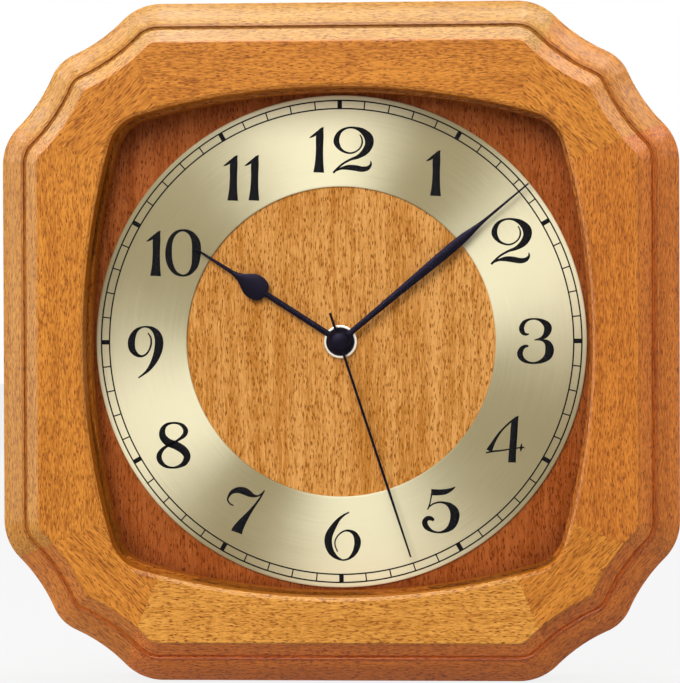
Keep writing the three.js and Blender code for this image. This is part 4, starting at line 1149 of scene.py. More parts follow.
def respaced(line: Array, count: int) -> Array:
    """Points at equal distances along a line.

    Args:
        line: corner points.
        count: number of points wanted, both ends among them.

    Returns:
        The points, read off where the running length of the line reaches each share.
    """
    length = np.concatenate([[0.0], np.cumsum(np.linalg.norm(np.diff(line, axis=0), axis=1))])
    wanted = np.linspace(0, length[-1], count)
    return np.stack([np.interp(wanted, length, column) for column in line.T], axis=1)


# Frame
@dataclass(frozen=True)
class FrameOutline:
    """The frame's scalloped outer edge, given by its eighth from the top's middle to the diagonal."""

    half: float
    shoulder: float = 24 * MM
    scallop: float = 74 * MM
    cusp: float = 19 * MM
    shoulder_turn: float = 45 * DEGREE
    scallop_exit: float = 24 * DEGREE
    diagonal: float = 45 * DEGREE
    least_radius: float = 0.4 * MM
    steps: int = 60

    def eighth(self, inset: float) -> tuple[Array, float]:
        """The edge set in by a distance.

        A straight is followed by three arcs: the shoulder turns down, the scallop curves the other way and
        the cusp turns down again. An arc of radius r from heading a to b moves by r (sin b - sin a) across
        and r (cos b - cos a) up; the scallop's radius is negative. The straight ends where the diagonal is
        met.

        Args:
            inset: distance inside the outer edge.

        Returns:
            The line, and the length of its straight.
        """
        radii = (
            max(self.shoulder - inset, self.least_radius),
            -self.scallop - inset,
            max(self.cusp - inset, self.least_radius),
        )
        headings = (0.0, self.shoulder_turn, self.scallop_exit, self.diagonal)
        line = np.zeros((1, 2))
        for radius, start, end in zip(radii, headings, headings[1:]):
            arc = radius * (circle(np.linspace(start, end, self.steps)[1:]) - circle(start))
            line = np.concatenate([line, line[-1] + arc])
        across, up = line[-1]
        straight = self.half - inset + up - across
        bent = line + (straight, self.half - inset)
        return np.concatenate([[[0.0, self.half - inset]], bent]), straight


@dataclass(frozen=True)
class OpeningOutline:
    """The frame's opening: four bowed sides joined by round corners, given by an eighth."""

    half: float
    side: float = 319 * MM
    corner: float = 17 * MM
    diagonal: float = 45 * DEGREE
    steps: int = 60

    def eighth(self, offset: float) -> Array:
        """The opening's edge set out by a distance.

        The side is an arc about a point on the upright axis, and the corner an arc about a point on the
        diagonal that touches it from inside, so both keep their centres when the edge is set out.

        Args:
            offset: distance outside the opening.

        Returns:
            The line from the top's middle to the diagonal.
        """
        side_centre = self.half - self.side
        reach = self.side - self.corner
        corner_centre = (side_centre + math.sqrt(2 * reach**2 - side_centre**2)) / 2
        meet = math.atan2(corner_centre, corner_centre - side_centre)
        side = circle(np.linspace(0, meet, self.steps)) * (self.side + offset) + (0, side_centre)
        corner = circle(np.linspace(meet, self.diagonal, self.steps)[1:]) * (self.corner + offset)
        return np.concatenate([side, corner + corner_centre])


class Stave(Enum):
    """The eight staves of the frame, clockwise from the top; the value is the number of eighth turns."""

    RAIL_TOP = 0
    CORNER_TOP_RIGHT = 1
    RAIL_RIGHT = 2
    CORNER_BOTTOM_RIGHT = 3
    RAIL_BOTTOM = 4
    CORNER_BOTTOM_LEFT = 5
    RAIL_LEFT = 6
    CORNER_TOP_LEFT = 7

    @property
    def is_rail(self) -> bool:
        """True for a rail and false for a corner block."""
        return self.value % 2 == 0

    @property
    def node(self) -> str:
        """Name of the CAD node."""
        return "frame_" + self.name.lower()


@dataclass
class BeechFrame:
    """Eight beech staves whose moulding runs round the scalloped outline, glued at mitred joints.

    The mouldings' painted light tints are in the order of the staves: paler and yellower on the top and
    left staves for painted highlight, darker and redder on the right and bottom ones for painted shade.
    """

    top: Reach = field(default_factory=lambda: Reach.of("frame_rail_top"))
    rail_width: float = 39.5 * MM
    corner_reach: float = 28.5 * MM
    mitre: float = 22.5 * DEGREE
    hairline: float = 0.01 * MM
    round_width: float = 10.8 * MM
    round_height: float = 10.8 * MM
    round_share: float = 0.08
    round_steps: int = 18
    groove_width: float = 1.4 * MM
    groove_depth: float = 0.9 * MM
    edge: float = 0.25 * MM
    back_edge: float = 1 * MM
    guard: float = 0.2 * MM
    cove_width: float = 6 * MM
    cove_height: float = 6 * MM
    hollow: float = 0.01
    hollow_steps: int = 12
    face_step: float = 1 * MM
    opening_ease: float = 1.4 * MM
    bevel_width: float = 1.4 * MM
    bevel_depth: float = 1.3 * MM
    bevel_edge: float = 0.15 * MM
    lip_depth: float = 13 * MM
    rebate_width: float = 7 * MM
    straight_points: int = 30
    bent_points: int = 34
    corner_points: int = 64
    layer_step: float = 61 * MM
    tones: Mapping[Stave, tuple[Colour, Colour]] = field(default_factory=lambda: {
        Stave.RAIL_RIGHT: ((0.71, 0.236, 0.026), (0.39, 0.098, 0.002)),
        Stave.RAIL_BOTTOM: ((0.84, 0.385, 0.065), (0.52, 0.190, 0.015)),
    })
    # Painted light and shade: one tint per stave, paler top and left, darker and redder right and bottom.
    painted_light_tints: tuple[Colour, ...] = (
        (0.84, 1.14, 1.7), (0.94, 1.00, 1.2), (1.0, 0.90, 0.90), (1.0, 0.74, 0.65),
        (1.0, 0.64, 0.45), (1.0, 0.88, 0.86), (0.94, 1.10, 1.4), (0.89, 1.14, 1.6),
    )
    block_dash: Cell = (5.0, 0.6, 0.6)
    block_dash_share: float = 0.75

    def outer_section(self) -> Array:
        """The moulding from the back to the flat face: a swelled slope, a groove, a bevel and a small step.

        Returns:
            Rows of (inset, depth), with a short chamfer at each edge.
        """
        edge, soft, front, back = self.edge, self.edge * ROUNDING, self.top.front, self.back_edge
        top = front - self.face_step - self.cove_height
        floor = top - self.groove_depth
        cove = self.round_width + self.groove_width
        face = cove + self.cove_width
        near = np.array([
            (edge - soft, top - soft), (edge, top - edge), (edge, floor + edge), (2 * edge, floor),
        ])
        far = near[::-1] * (-1, 1) + (self.groove_width, 0.0)
        side = top - self.round_height
        return np.concatenate([
            [(back + self.guard, 0.0), (back, 0.0), (edge, edge), (0.0, back)],
            [(0.0, back + self.guard), (0.0, side - self.guard)],
            bowed((0.0, side), self.round_width, self.round_height, self.round_share, self.round_steps),
            np.concatenate([near, far]) + (self.round_width, 0.0),
            bowed((cove, top), self.cove_width, self.cove_height, -self.hollow, self.hollow_steps),
            [(face, front - edge), (face + soft, front - soft)],
            [(face + edge, front), (face + edge + self.guard, front)],
        ])

    def opening_section(self) -> Array:
        """The face's inner edge, a bevel, the wall, the lip and the rebate.

        Returns:
            Rows of (offset, depth) from the face to the back.
        """
        outer = np.array([self.bevel_width, self.top.front])
        inner = np.array([0.0, self.top.front - self.bevel_depth])
        slope = (outer - inner) / np.linalg.norm(outer - inner)
        near, far = self.bevel_edge, self.bevel_edge + self.guard
        lip, rebate = self.top.front - self.lip_depth, self.rebate_width - self.opening_ease
        rows = [outer + (far, 0.0), outer + (near, 0.0), outer - slope * near, outer - slope * far]
        rows += [inner + slope * far, inner + slope * near, inner - (0.0, near), inner - (0.0, far)]
        rows += [(0.0, lip + self.edge), (self.edge, lip), (rebate, lip), (rebate, self.edge)]
        return np.vstack([*rows, (rebate + self.edge, 0.0)]) + (self.opening_ease, 0.0)

    def split(self, line: Array, shift: float) -> tuple[Array, Array]:
        """Cuts an eighth where it crosses the mitred joint.

        Args:
            line: the eighth, from the top's middle to the diagonal.
            shift: how far the cut lies to the right of the joint.

        Returns:
            The rail's part and the corner block's part.
        """
        opening_half = self.top.high - self.rail_width
        slant = (line[:, 1] - opening_half) * math.tan(self.mitre)
        past = line[:, 0] - (opening_half - self.corner_reach + slant + shift)
        after = int(np.argmax(past > 0))
        share = past[after - 1] / (past[after - 1] - past[after])
        cross = line[after - 1] + share * (line[after] - line[after - 1])
        return np.vstack([line[:after], cross]), np.vstack([cross, line[after:]])

    def stave_grid(self, stave: Stave) -> Array:
        """Points of one stave: the section carried along its stretch of the outline.

        Every point of the section follows its own set-in or set-out eighth, cut at the joint and mirrored,
        in the upright axis for a rail and in the diagonal for a corner block.

        Args:
            stave: the rail or block.

        Returns:
            A grid with a row per station along the stave and a column per point of the section.
        """
        outer, opening = FrameOutline(self.top.high), OpeningOutline(self.top.high - self.rail_width)
        outside, inside = self.outer_section(), self.opening_section()
        shift = (-1 if stave.is_rail else 1) * self.hairline / 2 / math.cos(self.mitre)
        columns = []
        for inset in outside[:, 0]:
            line, straight = outer.eighth(inset)
            rail, corner = self.split(line, shift)
            level = paired(np.linspace(0, straight, self.straight_points), rail[0, 1])
            rail = np.concatenate([level[:-1], respaced(rail[1:], self.bent_points)])
            columns.append(rail if stave.is_rail else respaced(corner, self.corner_points))
        for offset in inside[:, 0]:
            rail, corner = self.split(opening.eighth(offset), shift)
            rail = respaced(rail, self.straight_points + self.bent_points - 1)
            columns.append(rail if stave.is_rail else respaced(corner, self.corner_points))
        half = np.stack(columns, axis=1)
        if stave.is_rail:
            whole = np.concatenate([half[:0:-1] * (-1, 1), half])
        else:
            whole = np.concatenate([half, half[-2::-1, :, ::-1]])
        quarter_turns = stave.value // 2
        depth = np.concatenate([outside[:, 1], inside[:, 1]])
        return place(clockwise(whole, quarter_turns * RIGHT_ANGLE), depth)

    def wood(self, stave: Stave) -> WoodFinish:
        """A stave's finish: its own run of grain and tone, and its moulding's painted light and shade.

        Args:
            stave: the rail or block.

        Returns:
            The finish.
        """
        wood = WoodFinish(turn=stave.value * math.pi / 4, layer=stave.value * self.layer_step)
        pale, deep = self.tones.get(stave, (wood.pale, wood.deep))
        wood = replace(wood, pale=pale, deep=deep, stain=self.painted_light_tints[stave.value])
        if stave.is_rail:
            return wood
        return replace(wood, dash_cell=self.block_dash, dash_share=self.block_dash_share)

    def build(self) -> None:
        """Makes the staves, lets the hanger into the top rail and dresses them."""
        for stave in Stave:
            piece = Surface().add(self.stave_grid(stave)).object("beech_" + stave.name.lower())
            if stave is Stave.RAIL_TOP:
                cut_by(piece, *Hanger().pocket())
            publish(piece, self.wood(stave).material(piece.name), "case", [stave.node])


# Hanger and screws
class Head(Enum):
    """Form of a screw's head."""

    COUNTERSUNK = "countersunk"
    PAN = "pan"


@dataclass(frozen=True)
class Screw:
    """A cross-recessed screw with a domed head, turned about the middle of its CAD node."""

    node: str
    head: Head
    turn: float
    radius: float = 3 * MM
    head_height: float = 1.6 * MM
    neck_depth: float = 1.5 * MM
    dome: float = 0.22 * MM
    dome_rise: float = 0.176 * MM
    dome_steps: int = 14
    shank: float = 1.25 * MM
    point: float = 1.5 * MM
    arm_length: float = 1.6 * MM
    arm_half: float = 0.42 * MM
    recess_depth: float = 1.0 * MM
    recess_taper: float = 0.5

    def profile(self, reach: Reach) -> Array:
        """Radii and depths: a quarter ellipse for the dome, a cone or a step to the shank, and the point.

        Args:
            reach: the CAD node's reach.

        Returns:
            The profile from the dome's middle to the point.
        """
        sunk = self.head is Head.COUNTERSUNK
        height = self.dome if sunk else self.head_height
        rear = reach.rear - (self.dome_rise if sunk else 0.0)
        neck = reach.rear + (self.neck_depth if sunk else self.head_height)
        turn = quarter(self.dome_steps)[1:]
        return np.vstack([
            (HAIR, rear),
            paired(self.radius * np.sin(turn), rear + height * (1 - np.cos(turn))),
            (self.shank, neck),
            (self.shank, reach.front - self.point),
            (HAIR, reach.front),
        ])

    def recess(self, reach: Reach) -> Piece:
        """Cutter for the recess: a cross that narrows inwards.

        Args:
            reach: the CAD node's reach.

        Returns:
            The cutter.
        """
        long, thin = self.arm_length, self.arm_half
        arm = np.array([(thin, thin), (thin, long), (-thin, long)])
        cross = np.concatenate([clockwise(arm, -quarters * RIGHT_ANGLE) for quarters in range(4)])
        outline = clockwise(cross, self.turn) + reach.middle
        rear, floor = reach.rear - CUTTER_CLEARANCE, reach.rear + self.recess_depth
        return prism(outline, rear, floor, self.recess_taper).object(self.node + "_recess_cutter")

    def build(self, metal: Material) -> None:
        """Makes the screw in place of its CAD node.

        Args:
            metal: its finish.
        """
        reach = Reach.of(self.node)
        piece = Surface().add(turned(self.profile(reach), reach.middle)).object("cross_" + self.node)
        cut_by(piece, self.recess(reach))
        publish(piece, metal, "case", [self.node])


@dataclass
class Hanger:
    """The steel keyhole plate let into the back of the top rail, and its two screws."""

    plate: Reach = field(default_factory=lambda: Reach.of("hanger_plate"))
    fit: float = 0.3 * MM
    rounding: float = 3 * MM
    corner_steps: int = 12
    ease: float = 0.35 * MM
    flat_start: float = 0.56 * MM
    slot_radius: float = 2.2 * MM
    slot_points: int = 17
    entry_radius: float = 3.6 * MM
    entry_drop: float = 6.4 * MM
    entry_points: int = 41
    hook_room_half: float = 4.6 * MM
    hook_room_drop: float = 11 * MM
    hook_room_rise: float = 3.2 * MM
    hook_room_depth: float = 7 * MM
    seat: float = -AXIS_HEIGHT
    sink: tuple[Pair, ...] = ((3.65 * MM, -0.2 * MM), (1.32 * MM, 1.8 * MM), (1.32 * MM, 2.2 * MM))
    steel: MetalFinish = MetalFinish((0.62, 0.62, 0.60), (0.38, 0.38, 0.37), 0.26)
    screws: tuple[Screw, ...] = (
        Screw("hanger_screw_left", Head.COUNTERSUNK, 17 * DEGREE),
        Screw("hanger_screw_right", Head.COUNTERSUNK, 58 * DEGREE),
    )

    def outline(self, inset: float) -> Array:
        """The plate's outline, set in by a distance."""
        return rounded_box(self.plate, self.rounding, self.corner_steps, inset)

    def keyhole(self) -> Array:
        """The keyhole's outline: half a circle at the seat, joined to the wider circle of the entry below.

        Returns:
            (across, up) points.
        """
        spread = math.asin(self.slot_radius / self.entry_radius)
        top = np.linspace(RIGHT_ANGLE, -RIGHT_ANGLE, self.slot_points)
        low = np.linspace(-spread, spread - FULL_TURN, self.entry_points)
        slot = self.slot_radius * circle(top) + (0.0, self.seat)
        return np.concatenate([slot, self.entry_radius * circle(low) + (0.0, self.seat - self.entry_drop)])

    def pocket(self) -> list[Piece]:
        """Cutters for the plate's seat and for the room behind its keyhole.

        Returns:
            The two cutters.
        """
        seat = prism(self.outline(-self.fit), -self.fit, self.plate.front)
        half, low = self.hook_room_half, self.seat - self.hook_room_drop
        high = self.seat + self.hook_room_rise
        corners = np.array([(-half, low), (half, low), (half, high), (-half, high)])
        room = prism(corners, 0.0, self.plate.front + self.hook_room_depth)
        return [seat.object("hanger_seat_cutter"), room.object("hook_room_cutter")]

    def build(self) -> None:
        """Makes the plate with its eased edges, keyhole and countersinks, and the screws."""
        steel = self.steel.material("zinc_plated_plate")
        rear, front = self.plate.rear, self.plate.front
        profile = [*eased_edge(self.plate, self.ease), (self.flat_start, rear)]
        piece = Surface().add(slab(self.outline, profile)).object("keyhole_plate")
        cutters = [prism(self.keyhole(), rear - self.fit, front + self.fit).object("keyhole_cutter")]
        for screw in self.screws:
            sink = Surface().add(turned(self.sink, Reach.of(screw.node).middle))
            cutters.append(sink.object(screw.node + "_sink_cutter"))
        cut_by(piece, *cutters)
        publish(piece, steel, "case", ["hanger_plate"])
        for screw in self.screws:
            screw.build(steel)


# Dial
# Numerals drawn as pen strokes: rows of (x, y, pen width) from the lower left, 46 to the height.
DIGITS: dict[str, tuple[Stroke, ...]] = {
    "0": (
        ((18, 46.6, 2.4), (26, 43.5, 5), (31, 35, 8.6), (31.6, 24, 9.4), (30, 12, 7.4), (25, 4, 4),
         (18, 1.2, 2.2), (10, 4.5, 4.2), (5, 13, 6.4), (3.5, 24, 7), (5.3, 36, 5.4), (10.5, 43.8, 3.6),
         (18, 46.6, 2.4)),
    ),
    "1": (
        ((14.8, 46.2, 0.8), (12.3, 42.5, 5.5), (11, 36.5, 8), (10.7, 24.5, 7.6), (10.3, 11.5, 8.6),
         (9.8, 0.9, 11.2)),
        ((14.5, 46.2, 0.8), (9, 41, 3.2), (4.5, 37.7, 2.6), (0.8, 35.7, 0.9)),
    ),
    "2": (
        ((27.3, 38.5, 1.2), (29.3, 34.5, 1.6), (29.5, 29.5, 1.8), (27, 24.5, 1.6), (21.5, 20.8, 1.8),
         (15.5, 20.3, 2), (8.5, 23.5, 3.2), (4, 30.5, 6), (5, 37.5, 5), (9.5, 43, 3), (16.5, 45.5, 2),
         (23.5, 44.9, 3), (30.5, 41.7, 6), (36, 35.5, 9), (36.5, 28.5, 8.7), (32.5, 21.5, 7),
         (25.5, 16.5, 4), (17.5, 13.5, 2.5), (9.5, 9, 2.2), (4, 4, 2.4), (0.5, 0.5, 2.2)),
        ((3.5, 2.5, 1.2), (8.5, 4.8, 2.6), (15.5, 5.8, 5.2), (22.5, 5.2, 6), (29.5, 4, 5.6),
         (35, 5, 4.5), (38.2, 8.5, 2.4), (38.1, 12, 1)),
    ),
    "3": (
        ((13, 29.7, 1.5), (9.5, 29.5, 3), (6.5, 32, 5), (5.8, 36.5, 5.2), (8.5, 41.5, 4),
         (13.5, 44.3, 2.2), (19.5, 44.7, 2), (25.5, 43, 4), (31, 38.5, 7.5), (31.8, 33.5, 7.8),
         (29, 28, 5.5), (24.5, 25.3, 2.6), (18.5, 23.7, 1.2)),
        ((20.5, 24, 1.2), (26.5, 23.5, 2.5), (31.5, 20.5, 6.5), (33.5, 14.5, 9), (32, 8, 8),
         (27, 3.5, 5), (20.5, 1.2, 2.6), (13.5, 1.2, 2.4), (7, 4.2, 4.5), (4, 9.5, 6), (5.5, 14.7, 5),
         (9, 17.5, 3.4), (12.5, 17.7, 2)),
    ),
    "4": (
        ((33.1, 47.3, 0.8), (30.3, 43, 6), (29.2, 38.5, 7.2), (28.3, 25.5, 7.4), (27.1, 10.5, 7.6),
         (26.6, 0.9, 8)),
        ((31.5, 46, 1.5), (25.5, 41.5, 2), (18.5, 35, 1.9), (13, 28.5, 2.5), (8, 20.5, 3.8),
         (3.8, 12.5, 6.4)),
        ((0.7, 10.5, 1.4), (7.5, 11.9, 1.8), (16.5, 12.9, 1.6), (26.5, 14.5, 1.5), (34.5, 15.6, 1.4),
         (39, 15.7, 1.6)),
        ((36.3, 19.7, 0.8), (35.8, 15.7, 2.6), (35.3, 12, 0.8)),
    ),
    "5": (
        ((9.2, 41.3, 6.6), (16, 41.1, 6.2), (23, 41.7, 5.6), (29, 43.9, 3.4), (33.3, 46.5, 0.9)),
        ((9.6, 39.5, 1.6), (8.7, 33.5, 1.4), (7.3, 28, 1.5), (5.6, 23.9, 1.6)),
        ((7, 26.5, 1.2), (11, 29.5, 1.7), (17, 31.2, 1.9), (23, 30.5, 2.8), (28.5, 27.5, 6),
         (32.5, 21.5, 9.2), (32.5, 14.5, 9.2), (29.5, 7.5, 7.5), (24, 3, 4.2), (17, 1.1, 2),
         (10, 2.5, 2.8), (4.5, 6.5, 5.5), (2.7, 11.5, 5.6), (5.5, 15.2, 4.8), (9.5, 14.8, 4.2),
         (11.8, 13, 2.6)),
    ),
    "6": (
        ((25.3, 48.8, 1.4), (20, 45.9, 2.2), (14.5, 41.2, 3.6), (9.5, 34.2, 6), (5.2, 26.2, 7.6),
         (4.2, 18.7, 7.8), (6.3, 10.7, 6.8), (10.5, 5.2, 4.8), (15.5, 2, 2.6), (20, 1, 1.8),
         (25.5, 2.9, 2.6), (30.5, 8.2, 5), (33.3, 15.2, 6.6), (33.5, 21.2, 6.8), (31, 26.9, 5),
         (26.5, 29.9, 3), (21, 30.2, 1.9), (15.5, 27, 1.6), (11.7, 21.7, 1.5), (11, 16.2, 1.4),
         (13.5, 9.2, 1.2)),
    ),
    "7": (
        ((6.8, 27.4, 1.4), (3.5, 29, 1.5), (1, 33, 1.8), (2.5, 37.5, 2.6), (6, 41.2, 4.4),
         (12, 42.8, 6.4), (18, 41.7, 7.6), (23, 39, 6.2), (27.5, 37, 3.2), (32, 37.2, 1.7),
         (36, 39.8, 1.8), (38.3, 42.5, 1.2)),
        ((37.8, 42, 1.4), (33.5, 34.8, 2), (27.5, 26.5, 2.6), (21, 18, 5), (15, 10, 8.4),
         (11, 3.5, 11), (9.8, 0.4, 12)),
    ),
    "8": (
        ((17, 46, 2.2), (10, 44, 3.4), (6.3, 38.5, 5.8), (6.8, 32, 7.4), (12, 26.5, 8.2),
         (20, 23.3, 8.6), (27.5, 18.5, 8.4), (31, 12.5, 7.4), (28.5, 6, 5.8), (22.5, 2.3, 3.2),
         (15.5, 1.1, 2.2), (8.5, 3, 3.6), (3.7, 8, 5.4), (2.8, 13.5, 5.4), (5.5, 18.5, 4.2),
         (9.5, 22, 3), (17, 26, 2.4), (23, 29.5, 2.8), (28, 33.5, 4.4), (29.7, 38, 5.2),
         (27.3, 42.7, 4.2), (23, 45.2, 2.8), (17, 46, 2.2)),
    ),
    "9": (
        ((20.8, 46, 1.3), (23.5, 41.5, 1.8), (24, 35.5, 1.9), (22, 29, 1.9), (18.5, 24.5, 2),
         (14, 22.7, 2.4), (9, 24.5, 4.5), (5, 29.5, 6.8), (4, 36.5, 7.6), (5.5, 43, 6.4), (9, 48.5, 4),
         (14.5, 51.7, 2), (20, 52.1, 2), (25.5, 50, 4.5), (30, 45, 7.5), (32, 37.5, 9),
         (31, 28.5, 8.6), (28, 20, 7), (24, 13, 5), (19.5, 7.5, 3.2), (14.5, 3.5, 2), (10.8, 0.9, 1.5)),
    ),
}


@dataclass(frozen=True)
class Numeral:
    """One hour: its digits, the place of its middle and, in pen units, the start of a second digit."""

    digits: str
    across: float
    up: float
    second_start: float = 0.0


HOURS = (
    Numeral("1", 41.6 * MM, 74.5 * MM),
    Numeral("2", 75.9 * MM, 44.1 * MM),
    Numeral("3", 86.5 * MM, 0.0 * MM),
    Numeral("4", 72.9 * MM, -43.4 * MM),
    Numeral("5", 44.3 * MM, -74.8 * MM),
    Numeral("6", 0.6 * MM, -86.5 * MM),
    Numeral("7", -42.5 * MM, -75.1 * MM),
    Numeral("8", -74.9 * MM, -46.0 * MM),
    Numeral("9", -87.2 * MM, -4.5 * MM),
    Numeral("10", -74.4 * MM, 39.7 * MM, 19.5),
    Numeral("11", -44.0 * MM, 72.9 * MM, 21.3),
    Numeral("12", 0.8 * MM, 85.0 * MM, 23.8),
)


def pen_path(stroke: Stroke, steps: int = 8) -> Array:
    """A smooth line through a stroke's rows.

    Between rows b and c, with a before and d after, it is the cubic that leaves b with slope (c - a) / 2
    and reaches c with slope (d - b) / 2. A stroke that ends where it starts is smooth there too.

    Args:
        stroke: rows of (x, y, width).
        steps: points between two rows.

    Returns:
        Rows of (x, y, width).
    """
    knots = np.asarray(stroke, dtype=float)
    closed = bool(np.allclose(knots[0], knots[-1]))
    before = knots[-2] if closed else 2 * knots[0] - knots[1]
    after = knots[1] if closed else 2 * knots[-1] - knots[-2]
    padded = np.concatenate([[before], knots, [after]])
    a, b, c, d = (padded[k : k + len(knots) - 1, None] for k in range(4))
    t = np.linspace(0, 1, steps, endpoint=False)[None, :, None]
    square, cube = a - 2.5 * b + 2 * c - d / 2, 1.5 * (b - c) + (d - a) / 2
    cubic = b + t * (c - a) / 2 + t**2 * square + t**3 * cube
    return np.concatenate([cubic.reshape(-1, 3), knots[-1:]])


@dataclass
class ChapterRing:
    """The brushed ring with its printed minute track and numerals."""

    reach: Reach = field(default_factory=lambda: Reach.of("chapter_ring"))
    width: float = 40.5 * MM
    bevel: float = 0.4 * MM
    ring_steps: int = 360
    ink_height: float = 0.05 * MM
    ink_sunk: float = 0.03 * MM
    ink_slope: float = 0.04
    track_outer: float = 107.0 * MM
    track_inner: float = 103.4 * MM
    line: float = 0.62 * MM
    minutes: int = 60
    hour_minutes: int = 5
    minute_tick: float = 0.58 * MM
    hour_tick: float = 2.1 * MM
    tick_height: float = 0.045 * MM
    pen_unit: float = 0.4445 * MM
    thinnest_pen: float = 0.4
    stroke_rise: float = 0.15

    def plate(self, metal: Material) -> None:
        """The ring itself: a flat section with rounded front edges, turned about the dial's axis.

        Args:
            metal: its finish.
        """
        outer, front = self.reach.right, self.reach.front
        bevel, soft = self.bevel, self.bevel * ROUNDING
        edge = [(0.0, self.reach.rear), (0.0, front - bevel), (soft, front - soft)]
        edge += [(bevel, front), (2 * bevel, front)]
        profile = washer(outer - self.width, outer, edge)
        piece = Surface().add(turned(profile, steps=self.ring_steps), ring=True).object("spun_chapter_ring")
        publish(piece, metal, "case", ["chapter_ring"])

    def raised(self, first: Array, second: Array, height: float) -> Array:
        """A low ink bar between two side lines: its section is a box with sloped sides.

        Args:
            first: (across, up) points of one side.
            second: points of the other side.
            height: how far it stands above the ring's face.

        Returns:
            A row of points per station.
        """
        share = np.array([0.0, self.ink_slope, 1 - self.ink_slope, 1.0])[None, :, None]
        depth = self.reach.front + np.array([-self.ink_sunk, height, height, -self.ink_sunk])
        return place(first[:, None] * (1 - share) + second[:, None] * share, depth)

    def track(self, ink: Material) -> None:
        """Two circles and sixty ticks between them, every fifth one wide.

        Args:
            ink: its finish.
        """
        surface = Surface()
        edge = [(0.0, self.reach.front - self.ink_sunk), (0.0, self.reach.front + self.ink_height)]
        radii = np.array([self.track_inner, self.track_outer])
        for radius in radii:
            profile = washer(radius - self.line / 2, radius + self.line / 2, edge)
            surface.add(turned(profile, steps=self.ring_steps), ring=True)
        for minute in range(self.minutes):
            half = (self.minute_tick if minute % self.hour_minutes else self.hour_tick) / 2
            angle = minute * FULL_TURN / self.minutes
            sides = [clockwise(paired(side, radii), angle) for side in (-half, half)]
            surface.add(self.raised(*sides, self.tick_height))
        publish(surface.object("minute_track"), ink, "case")

    def numeral(self, numeral: Numeral, ink: Material) -> None:
        """One hour's numeral: each pen stroke is a ribbon as wide as the pen along its smooth line.

        Args:
            numeral: the hour.
            ink: its finish.
        """
        sides = []
        for start, digit in zip((0.0, numeral.second_start), numeral.digits):
            for stroke in DIGITS[digit]:
                line, pen = np.split(pen_path(stroke) + (start, 0.0, 0.0), [2], axis=1)
                heading = np.gradient(line, axis=0)
                heading /= np.linalg.norm(heading, axis=1, keepdims=True)
                aside = paired(-heading[:, 1], heading[:, 0]) * np.maximum(pen, self.thinnest_pen) / 2
                sides.append((line - aside, line + aside))
        corners = np.concatenate([np.concatenate(pair) for pair in sides])
        middle = (corners.min(axis=0) + corners.max(axis=0)) / 2
        surface = Surface()
        for layer, pair in enumerate(sides):
            placed = [(side - middle) * self.pen_unit + (numeral.across, numeral.up) for side in pair]
            surface.add(self.raised(*placed, self.ink_height * (1 + self.stroke_rise * layer)))
        publish(surface.object(f"numeral_{numeral.digits}"), ink, "case")

    def build(self) -> None:
        """Makes the ring, the track and the twelve numerals."""
        self.plate(SpunMetalFinish().material("spun_champagne_metal"))
        ink = InkFinish().material("black_print")
        self.track(ink)
        for numeral in HOURS:
            self.numeral(numeral, ink)


# Hands
@dataclass
class Hand:
    """A flat blued hand with a crowned blade, turned to the place of its CAD node."""

    node: str
    body: str
    hub: float
    bore: float
    crown: float = 0.45
    shoulder: float = 0.82
    shoulder_fall: float = 0.2025
    stations: int = 220
    hub_ease: float = 0.3
    hub_steps: int = 72
    tip_slack: float = 0.01 * MM

    def rest(self) -> Pair:
        """Where the CAD hand points, from its points farthest from the axis.

        Returns:
            Its clockwise angle and its reach.
        """
        mesh = frame["nodes"][self.node].data
        points = np.empty(len(mesh.vertices) * 3, dtype=np.float32)
        mesh.vertices.foreach_get("co", points)
        flat = points.reshape(-1, 3)[:, [0, 2]].astype(float) - (0.0, AXIS_HEIGHT)
        distance = np.linalg.norm(flat, axis=1)
        tip = flat[distance > distance.max() - self.tip_slack].mean(axis=0)
        return math.atan2(*tip), float(distance.max())

    def blade(self, outline: Sequence[Pair], reach: Reach, angle: float) -> Array:
        """A blade: a crowned section as wide as the outline, carried from the hub to the tip.

        At distance d along the hand the section runs from -h(d) to h(d), where h is read off the outline,
        and its front falls from the middle to the edges by the crown's share of the thickness.

        Args:
            outline: distances along the hand and half widths.
            reach: its rear and front.
            angle: its clockwise angle.

        Returns:
            A row of points per station.
        """
        along, half = np.asarray(outline, dtype=float).T
        stations = np.unique(np.concatenate([np.linspace(along[0], along[-1], self.stations), along]))
        width = np.interp(stations, along, half)
        side = np.array([(1, 0), (1, 1 - self.crown), (self.shoulder, 1 - self.shoulder_fall)])
        section = np.concatenate([side * (-1, 1), [(0, 1)], side[::-1]])
        flat = clockwise(paired(width[:, None] * section[:, 0], stations[:, None]), angle)
        return place(flat, reach.rear + reach.thickness * section[:, 1])

    def collar(self, reach: Reach) -> Array:
        """A flat collar with eased edges round the bore.

        Args:
            reach: its rear and front.

        Returns:
            A grid that closes on itself both ways.
        """
        ease = reach.thickness * self.hub_ease
        edge = [(0.0, reach.rear), (0.0, reach.front - ease), (ease, reach.front)]
        return turned(washer(self.bore, self.hub, edge), steps=self.hub_steps)


def bezier(*corners: Pair, steps: int = 24) -> Array:
    """Outline points (distance, half width) on the cubic Bezier curve of four corners.

    Args:
        *corners: the start, the two handles and the end.
        steps: steps along the curve.

    Returns:
        Rows of the curve.
    """
    t = np.linspace(0, 1, steps + 1)[:, None]
    a, b, c, d = np.asarray(corners, dtype=float)
    return (1 - t) ** 3 * a + 3 * t * (1 - t) ** 2 * b + 3 * t**2 * (1 - t) * c + t**3 * d


